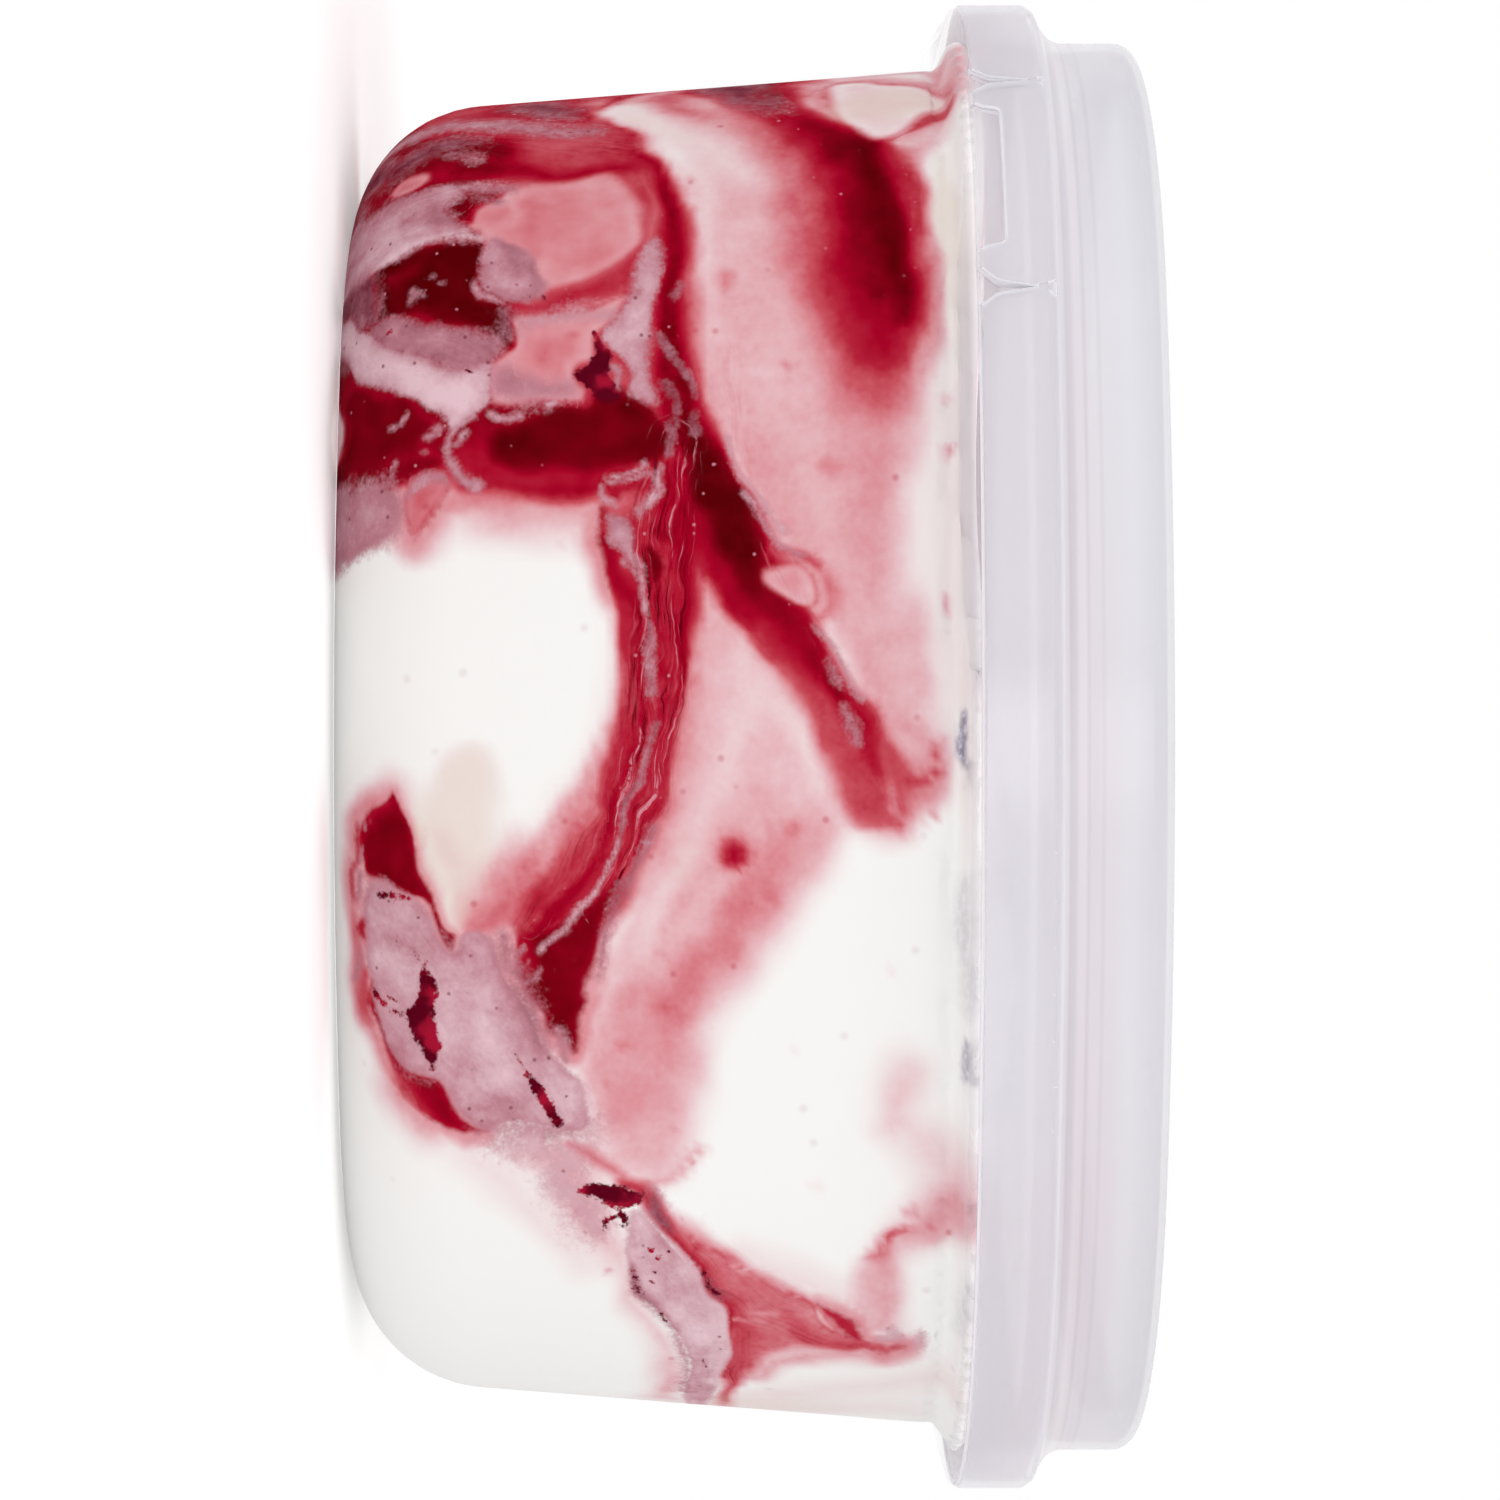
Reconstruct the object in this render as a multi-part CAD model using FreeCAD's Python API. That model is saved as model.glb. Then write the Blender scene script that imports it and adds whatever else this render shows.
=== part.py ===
import FreeCAD, Part
import math
import os

# A clear oval ice cream tub with its snap lid shut and ripple ice cream inside.
# Millimetres, +Z up. The origin is the middle of the footprint at the base,
# X runs along the tub and Y across it; the lid's tear tab is at the -X, -Y corner.
#
# Every outline in plan is the same oval of four arcs, drawn further in or out.
# Sections are written as (inset, height) points: the inset is measured inwards
# from the outer face of the lid's skirt, the widest outline of the object.

# plan
LENGTH = 179.0            # over the lid's skirt
WIDTH = 121.0             # over the lid's skirt
SIDE_SWELL = 5.5          # half the width less the radius of the two ends

# heights
HEIGHT = 93.3             # base to the crest of the lid's stacking ring
LID_DEPTH = 21.0          # crest down to the skirt's lower edge
PANEL_RECESS = 5.0        # crest down to the lid's flat panel
RING_FOOT_DROP = 10.2     # crest down to where the shoulder's slope would meet the ring wall
CREASE_DROP = 12.6        # crest down to the crease between the lid's shoulder and its skirt
RIM_DROP = 12.1           # crest down to the tub's rim, which carries the lid
LIP_RISE = 4.8            # skirt's lower edge up to the top of the tub's outer lip behind it
FLARE_DROP = 2.6          # skirt's lower edge down to where the tub wall turns outwards
HEADSPACE = 8.2           # rim down to the mean level of the ice cream

# walls and clearances
TUB_WALL = 0.8
LID_WALL = 0.8
SNAP_GAP = 0.3            # between tub and lid wherever they don't seat
FILL_GAP = 0.3            # between ice cream and tub wall

# tub
WALL_DRAFT = 0.078        # inward run of the wall for each mm down
FLARE_INSET = 7.4         # tub wall where it turns outwards
BASE_CORNER = 16.5        # radius between wall and base
FOOT_LAND = 2.9           # width of the flat ring that the tub stands on
FLOOR_RISE = 0.8          # floor inside that ring stands off the table
FLANGE_EDGE = 0.4         # inset of the flange under the skirt
FLANGE_THICK = 0.9
RIM_INSET = 3.8
LIP_WALL = 0.7
GUSSETS = 3               # ribs under the flange at the end by the tear tab
GUSSET_STEP = 7.0         # degrees between them
GUSSET_DROP = 3.9         # foot of a rib below the flare
GUSSET_WALL = 0.8

# lid
RING_INSET = 4.5
RING_WIDTH = 4.5          # of the crest, outer wall to recess
CREST_RADIUS = 2.5
SHOULDER_RADIUS = 3.4
PLUG_DEPTH = 2.9          # seal below the rim's top
BAND_RELIEF = 0.3         # how far the skirt's panels stand out at the slits

# tear tab, in plan angles round the end's centre, from -Y towards -X
TAB_ANGLE = 32.0
TAB_WIDTH = 30.0          # along the skirt, slit to slit
WAIST_RISE = 6.1          # skirt's lower edge up to the thin bridge in each slit
NOTCH_WIDTH = 19.8
NOTCH_HEIGHT = 3.0

# worked out from the values above
SKIRT_BOTTOM = HEIGHT - LID_DEPTH
PANEL_Z = HEIGHT - PANEL_RECESS
RING_FOOT = HEIGHT - RING_FOOT_DROP
CREASE_Z = HEIGHT - CREASE_DROP
RIM_TOP = HEIGHT - RIM_DROP
LIP_TOP = SKIRT_BOTTOM + LIP_RISE
FLARE_Z = SKIRT_BOTTOM - FLARE_DROP
WAIST_Z = SKIRT_BOTTOM + WAIST_RISE
FILL_LEVEL = RIM_TOP - HEADSPACE
HALF_LENGTH = LENGTH / 2
HALF_WIDTH = WIDTH / 2
END_RADIUS = HALF_WIDTH - SIDE_SWELL
END_CENTRE = HALF_LENGTH - END_RADIUS
SIDE_RADIUS = (END_CENTRE ** 2 + HALF_WIDTH ** 2 - END_RADIUS ** 2) / (2 * SIDE_SWELL)
SIDE_CENTRE = SIDE_RADIUS - HALF_WIDTH
SIDE_ANGLE = math.degrees(math.atan2(END_CENTRE, SIDE_CENTRE))
UP = FreeCAD.Vector(0, 0, 1)


def wall_inset(z):
    """Inset of the tub's drafted outer wall at a height."""
    return FLARE_INSET + WALL_DRAFT * (FLARE_Z - z)


FOOT_OUTER = wall_inset(0) + BASE_CORNER * math.tan(math.radians(90) / 2 - math.atan(WALL_DRAFT) / 2)
FOOT_INNER = FOOT_OUTER + FOOT_LAND
FLOOR_EDGE = FOOT_INNER + 2 * FLOOR_RISE
FLOOR_CORE = FLOOR_EDGE + 2.0
PANEL_EDGE = RING_INSET + RING_WIDTH + 0.6
PANEL_CORE = PANEL_EDGE + 4.0


def rounded_wire(corners):
    """Closed wire in the XZ plane through (x, z, radius) corners, each rounded off."""
    starts, ends, edges = [], [], []
    count = len(corners)
    for i, (x, z, radius) in enumerate(corners):
        here = FreeCAD.Vector(x, 0, z)
        back = FreeCAD.Vector(corners[i - 1][0], 0, corners[i - 1][1]) - here
        ahead = FreeCAD.Vector(corners[(i + 1) % count][0], 0, corners[(i + 1) % count][1]) - here
        half = back.getAngle(ahead) / 2
        back.normalize()
        ahead.normalize()
        run = radius / math.tan(half)
        starts.append(here + back * run)
        ends.append(here + ahead * run)
        if radius:
            middle = (back + ahead).normalize()
            nearest = here + middle * (radius / math.sin(half) - radius)
            edges.append(Part.Arc(starts[i], nearest, ends[i]).toShape())
        else:
            edges.append(None)
    path = []
    for i in range(count):
        if edges[i]:
            path.append(edges[i])
        path.append(Part.LineSegment(ends[i], starts[(i + 1) % count]).toShape())
    return Part.Wire(path)


def oval_arcs():
    """Centre, radius, start angle and sweep of the plan's four arcs."""
    end_sweep = 180 - 2 * SIDE_ANGLE
    return [
        (FreeCAD.Vector(0, SIDE_CENTRE, 0), SIDE_RADIUS, -90 - SIDE_ANGLE, 2 * SIDE_ANGLE),
        (FreeCAD.Vector(END_CENTRE, 0, 0), END_RADIUS, -90 + SIDE_ANGLE, end_sweep),
        (FreeCAD.Vector(0, -SIDE_CENTRE, 0), SIDE_RADIUS, 90 - SIDE_ANGLE, 2 * SIDE_ANGLE),
        (FreeCAD.Vector(-END_CENTRE, 0, 0), END_RADIUS, 90 + SIDE_ANGLE, end_sweep),
    ]


def oval_plate(inset, low, high):
    """Flat oval plate between two heights."""
    edges = []
    for centre, radius, start, sweep in oval_arcs():
        angles = [math.radians(start + sweep * part) for part in (0, 0.5, 1)]
        reach = radius - inset
        points = [centre + FreeCAD.Vector(reach * math.cos(a), reach * math.sin(a), low) for a in angles]
        edges.append(Part.Arc(*points).toShape())
    return Part.Face(Part.Wire(edges)).extrude(UP * (high - low))


def oval_sweep(section, core=None):
    """Carry an (inset, height, radius) section round the oval, and fill inside it with a core plate."""
    pieces = []
    for centre, radius, start, sweep in oval_arcs():
        face = Part.Face(rounded_wire([(radius - inset, z, r) for inset, z, r in section]))
        face.rotate(FreeCAD.Vector(), UP, start)
        piece = face.revolve(FreeCAD.Vector(), UP, sweep)
        piece.translate(centre)
        pieces.append(piece)
    if core:
        pieces.append(oval_plate(*core))
    return pieces[0].fuse(pieces[1:]).removeSplitter()


def at_tab_end(shape, angle):
    """Turn a shape that looks along -Y round the centre of the -X end."""
    shape.rotate(FreeCAD.Vector(), UP, -angle)
    shape.translate(FreeCAD.Vector(-END_CENTRE, 0, 0))
    return shape


def tub_section():
    """Floor, drafted wall, flared flange with its outer lip, and the rim inside it."""
    flange_top = SKIRT_BOTTOM - SNAP_GAP
    flange_low = flange_top - FLANGE_THICK / 2
    lip = LID_WALL + SNAP_GAP
    inner_flare = FLARE_Z + TUB_WALL * 0.8
    return [
        (FLOOR_CORE, FLOOR_RISE, 0),
        (FLOOR_EDGE, FLOOR_RISE, 0.5),
        (FOOT_INNER, 0, 0.5),
        (wall_inset(0), 0, BASE_CORNER),
        (FLARE_INSET, FLARE_Z, 0.6),
        (FLANGE_EDGE, flange_low, 0.2),
        (FLANGE_EDGE, flange_top, 0.1),
        (lip, flange_top, 0),
        (lip, LIP_TOP, 0.2),
        (lip + LIP_WALL, LIP_TOP, 0.2),
        (lip + LIP_WALL, flange_top + FLANGE_THICK / 2, 0.3),
        (RIM_INSET, flange_top, 0.3),
        (RIM_INSET, RIM_TOP, 0.15),
        (RIM_INSET + TUB_WALL, RIM_TOP, 0.15),
        (RIM_INSET + TUB_WALL, inner_flare + 1.0, 0.8),
        (FLARE_INSET + TUB_WALL, inner_flare, 0.9),
        (wall_inset(0) + TUB_WALL, TUB_WALL, BASE_CORNER - TUB_WALL),
        (FOOT_INNER, TUB_WALL, 0.5),
        (FLOOR_EDGE, FLOOR_RISE + TUB_WALL, 0.5),
        (FLOOR_CORE, FLOOR_RISE + TUB_WALL, 0),
    ]


def gusset():
    """Thin triangular rib between the wall and the underside of the flange, looking along -Y."""
    low = FLARE_Z - GUSSET_DROP
    flange_under = SKIRT_BOTTOM - SNAP_GAP - FLANGE_THICK / 2
    corners = [
        (wall_inset(low) + TUB_WALL / 2, low),
        (FLANGE_EDGE + 0.4, flange_under - 0.1),
        (FLANGE_EDGE + 0.4, flange_under + FLANGE_THICK / 4),
        (wall_inset(FLARE_Z) + TUB_WALL / 2, FLARE_Z + TUB_WALL / 4),
    ]
    points = [FreeCAD.Vector(-GUSSET_WALL / 2, inset - END_RADIUS, z) for inset, z in corners]
    face = Part.Face(Part.makePolygon(points + points[:1]))
    return face.extrude(FreeCAD.Vector(GUSSET_WALL, 0, 0))


def tub():
    shell = oval_sweep(tub_section(), (FLOOR_CORE, FLOOR_RISE, FLOOR_RISE + TUB_WALL))
    middle = (GUSSETS - 1) / 2
    ribs = [at_tab_end(gusset(), 90 + (i - middle) * GUSSET_STEP) for i in range(GUSSETS)]
    return shell.fuse(ribs).removeSplitter()


def lid_section():
    """Skirt, creased shoulder, stacking ring and recessed panel, with the seal plug below."""
    recess = RING_INSET + RING_WIDTH
    plug = RIM_INSET + TUB_WALL + SNAP_GAP
    plug_low = RIM_TOP - PLUG_DEPTH
    return [
        (0, SKIRT_BOTTOM, 0.2),
        (0, CREASE_Z - 0.8, 0.9),
        (0.75, CREASE_Z + BAND_RELIEF, 0.1),
        (0.9, CREASE_Z + 0.05, 0),
        (RING_INSET, RING_FOOT, SHOULDER_RADIUS),
        (RING_INSET, HEIGHT, CREST_RADIUS),
        (recess, HEIGHT, 1.6),
        (PANEL_EDGE, PANEL_Z, 1.0),
        (PANEL_CORE, PANEL_Z, 0),
        (PANEL_CORE, PANEL_Z - LID_WALL, 0),
        (PANEL_EDGE - LID_WALL, PANEL_Z - LID_WALL, 1.8),
        (recess - LID_WALL, HEIGHT - LID_WALL, 0.8),
        (RING_INSET + LID_WALL, HEIGHT - LID_WALL, CREST_RADIUS - LID_WALL),
        (plug + LID_WALL, plug_low, 0.2),
        (plug, plug_low, 0.2),
        (plug, RIM_TOP, 0),
        (RIM_INSET - 0.5, RIM_TOP, 0),
        (LID_WALL, CREASE_Z - 1.1, 0.6),
        (LID_WALL, SKIRT_BOTTOM, 0.2),
    ]


def skirt_cutter(corners, depth):
    """Prism through the skirt from an outline in (along the skirt, height, radius)."""
    prism = Part.Face(rounded_wire(corners)).extrude(FreeCAD.Vector(0, -(depth + 1.0), 0))
    prism.translate(FreeCAD.Vector(0, -(END_RADIUS - depth), 0))
    return prism


def slit_groove():
    """Hourglass recess between the tab and the skirt: flared at the crease and at the bottom."""
    low, high = SKIRT_BOTTOM - 0.5, CREASE_Z + 0.5
    right = [(2.9, low, 0), (0.8, SKIRT_BOTTOM + 1.9, 1.8), (0.15, WAIST_Z, 1.0),
             (0.6, CREASE_Z - 0.7, 0.9), (1.7, high, 0)]
    left = [(-x, z, r) for x, z, r in reversed(right)]
    return skirt_cutter(right + left, BAND_RELIEF)


def slit_cut():
    """Open part of a slit, from just under its thin bridge to the skirt's edge."""
    low, top = SKIRT_BOTTOM - 0.5, WAIST_Z - 0.5
    right = [(2.6, low, 0), (0.6, SKIRT_BOTTOM + 1.9, 1.8), (0.15, top, 0)]
    left = [(-x, z, r) for x, z, r in reversed(right)]
    return skirt_cutter(right + left, 2 * LID_WALL)


def notch_cut():
    """Finger notch between the tab's two lobes."""
    half, low, top = NOTCH_WIDTH / 2, SKIRT_BOTTOM - 0.5, SKIRT_BOTTOM + NOTCH_HEIGHT
    right = [(half + 1.1, low, 0), (half + 0.2, SKIRT_BOTTOM + 0.9, 0.8), (half - 0.3, top, 0.9)]
    left = [(-x, z, r) for x, z, r in reversed(right)]
    return skirt_cutter(right + left, 3 * LID_WALL)


def lid():
    cap = oval_sweep(lid_section(), (PANEL_CORE, PANEL_Z - LID_WALL, PANEL_Z))
    half_tab = math.degrees(TAB_WIDTH / 2 / END_RADIUS)
    cutters = [at_tab_end(notch_cut(), TAB_ANGLE)]
    for angle in (TAB_ANGLE - half_tab, TAB_ANGLE + half_tab):
        cutters.append(at_tab_end(slit_groove(), angle))
        cutters.append(at_tab_end(slit_cut(), angle))
    return cap.cut(cutters)


def fill_section():
    """The tub's inside, a small gap in from its wall, up to above the highest fold."""
    inner_flare = FLARE_Z + TUB_WALL * 0.8 + FILL_GAP
    return [
        (FLOOR_CORE, FLOOR_RISE + TUB_WALL, 0),
        (FLOOR_EDGE - FILL_GAP, FLOOR_RISE + TUB_WALL, 0.5),
        (FOOT_INNER - FILL_GAP, TUB_WALL + FILL_GAP, 0.5),
        (wall_inset(0) + TUB_WALL + FILL_GAP, TUB_WALL + FILL_GAP, BASE_CORNER - TUB_WALL - FILL_GAP),
        (FLARE_INSET + TUB_WALL + FILL_GAP, inner_flare, 0.9),
        (RIM_INSET + TUB_WALL + FILL_GAP, inner_flare + 1.0, 0.8),
        (RIM_INSET + TUB_WALL + FILL_GAP, RIM_TOP, 0),
        (FLOOR_CORE, RIM_TOP, 0),
    ]


def fold_height(x, y):
    """Level of the ice cream: soft folds laid across the tub, highest by the front right wall."""
    u, v = x / HALF_LENGTH, y / HALF_WIDTH
    crest = 3.6 * math.exp(-((u - 0.30) / 0.26) ** 2 - ((v + 0.75) / 0.5) ** 2)
    ridge = 2.0 * math.exp(-((u + 0.45 - 0.35 * v) / 0.16) ** 2 - ((v - 0.25) / 0.6) ** 2)
    roll = 1.0 * math.sin(5.2 * u + 2.3 * v) * math.cos(3.1 * v - 0.8 * u)
    dip = 1.5 * math.exp(-((u + 0.35) / 0.5) ** 2 - ((v + 0.9) / 0.35) ** 2)
    return FILL_LEVEL + crest + ridge + roll - dip


def ice_cream():
    block = oval_sweep(fill_section(), (FLOOR_CORE, FLOOR_RISE + TUB_WALL, RIM_TOP))
    columns, rows = 25, 17
    grid = []
    for i in range(columns):
        x = HALF_LENGTH * (2 * i / (columns - 1) - 1)
        ys = [HALF_WIDTH * (2 * j / (rows - 1) - 1) for j in range(rows)]
        grid.append([FreeCAD.Vector(x, y, fold_height(x, y)) for y in ys])
    top = Part.BSplineSurface()
    top.interpolate(grid)
    below = top.toShape().extrude(-UP * HEIGHT)
    return block.common(below)


def main():
    os.makedirs("parts", exist_ok=True)
    for name, make in (("tub", tub), ("lid", lid), ("ice_cream", ice_cream)):
        shape = make()
        solids = shape.Solids
        assert len(solids) == 1 and solids[0].isValid(), name
        print(name, "%.1f cm3" % (solids[0].Volume / 1000), solids[0].BoundBox)
        solids[0].exportStep("parts/%s.step" % name)


main()
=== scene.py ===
import math

import bpy
import numpy as np
from mathutils import Matrix, Vector


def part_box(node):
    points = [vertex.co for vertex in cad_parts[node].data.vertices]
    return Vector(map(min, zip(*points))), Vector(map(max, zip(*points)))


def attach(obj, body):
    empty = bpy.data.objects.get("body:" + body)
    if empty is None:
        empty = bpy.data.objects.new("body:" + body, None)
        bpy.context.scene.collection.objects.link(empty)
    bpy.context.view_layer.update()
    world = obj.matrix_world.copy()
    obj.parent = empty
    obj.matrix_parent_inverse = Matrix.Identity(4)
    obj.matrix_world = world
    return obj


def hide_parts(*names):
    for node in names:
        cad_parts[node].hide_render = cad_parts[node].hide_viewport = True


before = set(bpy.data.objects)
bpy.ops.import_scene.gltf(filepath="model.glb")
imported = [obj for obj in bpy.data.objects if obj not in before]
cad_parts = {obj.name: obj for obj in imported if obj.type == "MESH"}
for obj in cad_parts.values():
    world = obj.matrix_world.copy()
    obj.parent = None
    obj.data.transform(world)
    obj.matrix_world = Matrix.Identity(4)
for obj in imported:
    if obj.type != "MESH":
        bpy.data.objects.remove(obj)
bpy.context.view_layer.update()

# --- Ice cream ---------------------------------------------------------------
# Vanilla ice cream rippled with dark cherry sauce, filled soft and then hardened.
# It is frozen against the tub wall, so the ripple shows as it was pressed there.

face_size = 0.0019                          # of the even faces, before they are divided
front_from, front_to = 0.0012, 0.0722       # the front wall's finer faces: from and to this height,
front_depth = -0.012                        # and forward of this
crisp_reach = 1.12                          # how near a crisp edge the finest faces start
flare_start = 0.0685                        # below, the ice cream fills the wall tightly
wall_reach, flare_hold = 0.00095, 0.6       # pressed this far outwards; less in the flare

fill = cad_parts["ice_cream"].copy()
fill.data = fill.data.copy()
fill.name = fill.data.name = "ripple_ice_cream"
bpy.context.scene.collection.objects.link(fill)
bpy.ops.object.select_all(action="DESELECT")
bpy.context.view_layer.objects.active = fill
fill.select_set(True)
bpy.ops.object.mode_set(mode="EDIT")
bpy.ops.mesh.select_all(action="SELECT")
bpy.ops.mesh.remove_doubles(threshold=1e-6)
bpy.ops.object.mode_set(mode="OBJECT")
even = fill.modifiers.new("even", "REMESH")
even.mode = "VOXEL"
even.voxel_size = face_size
bpy.ops.object.modifier_apply(modifier=even.name)

# Where the ripple lies, in millimetres: first the way round the wall from the middle of the
# front, then the height, which runs on round the corner under the base. Points with a third
# number, half a width, are a stroke; points without one go round an outline.

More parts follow.
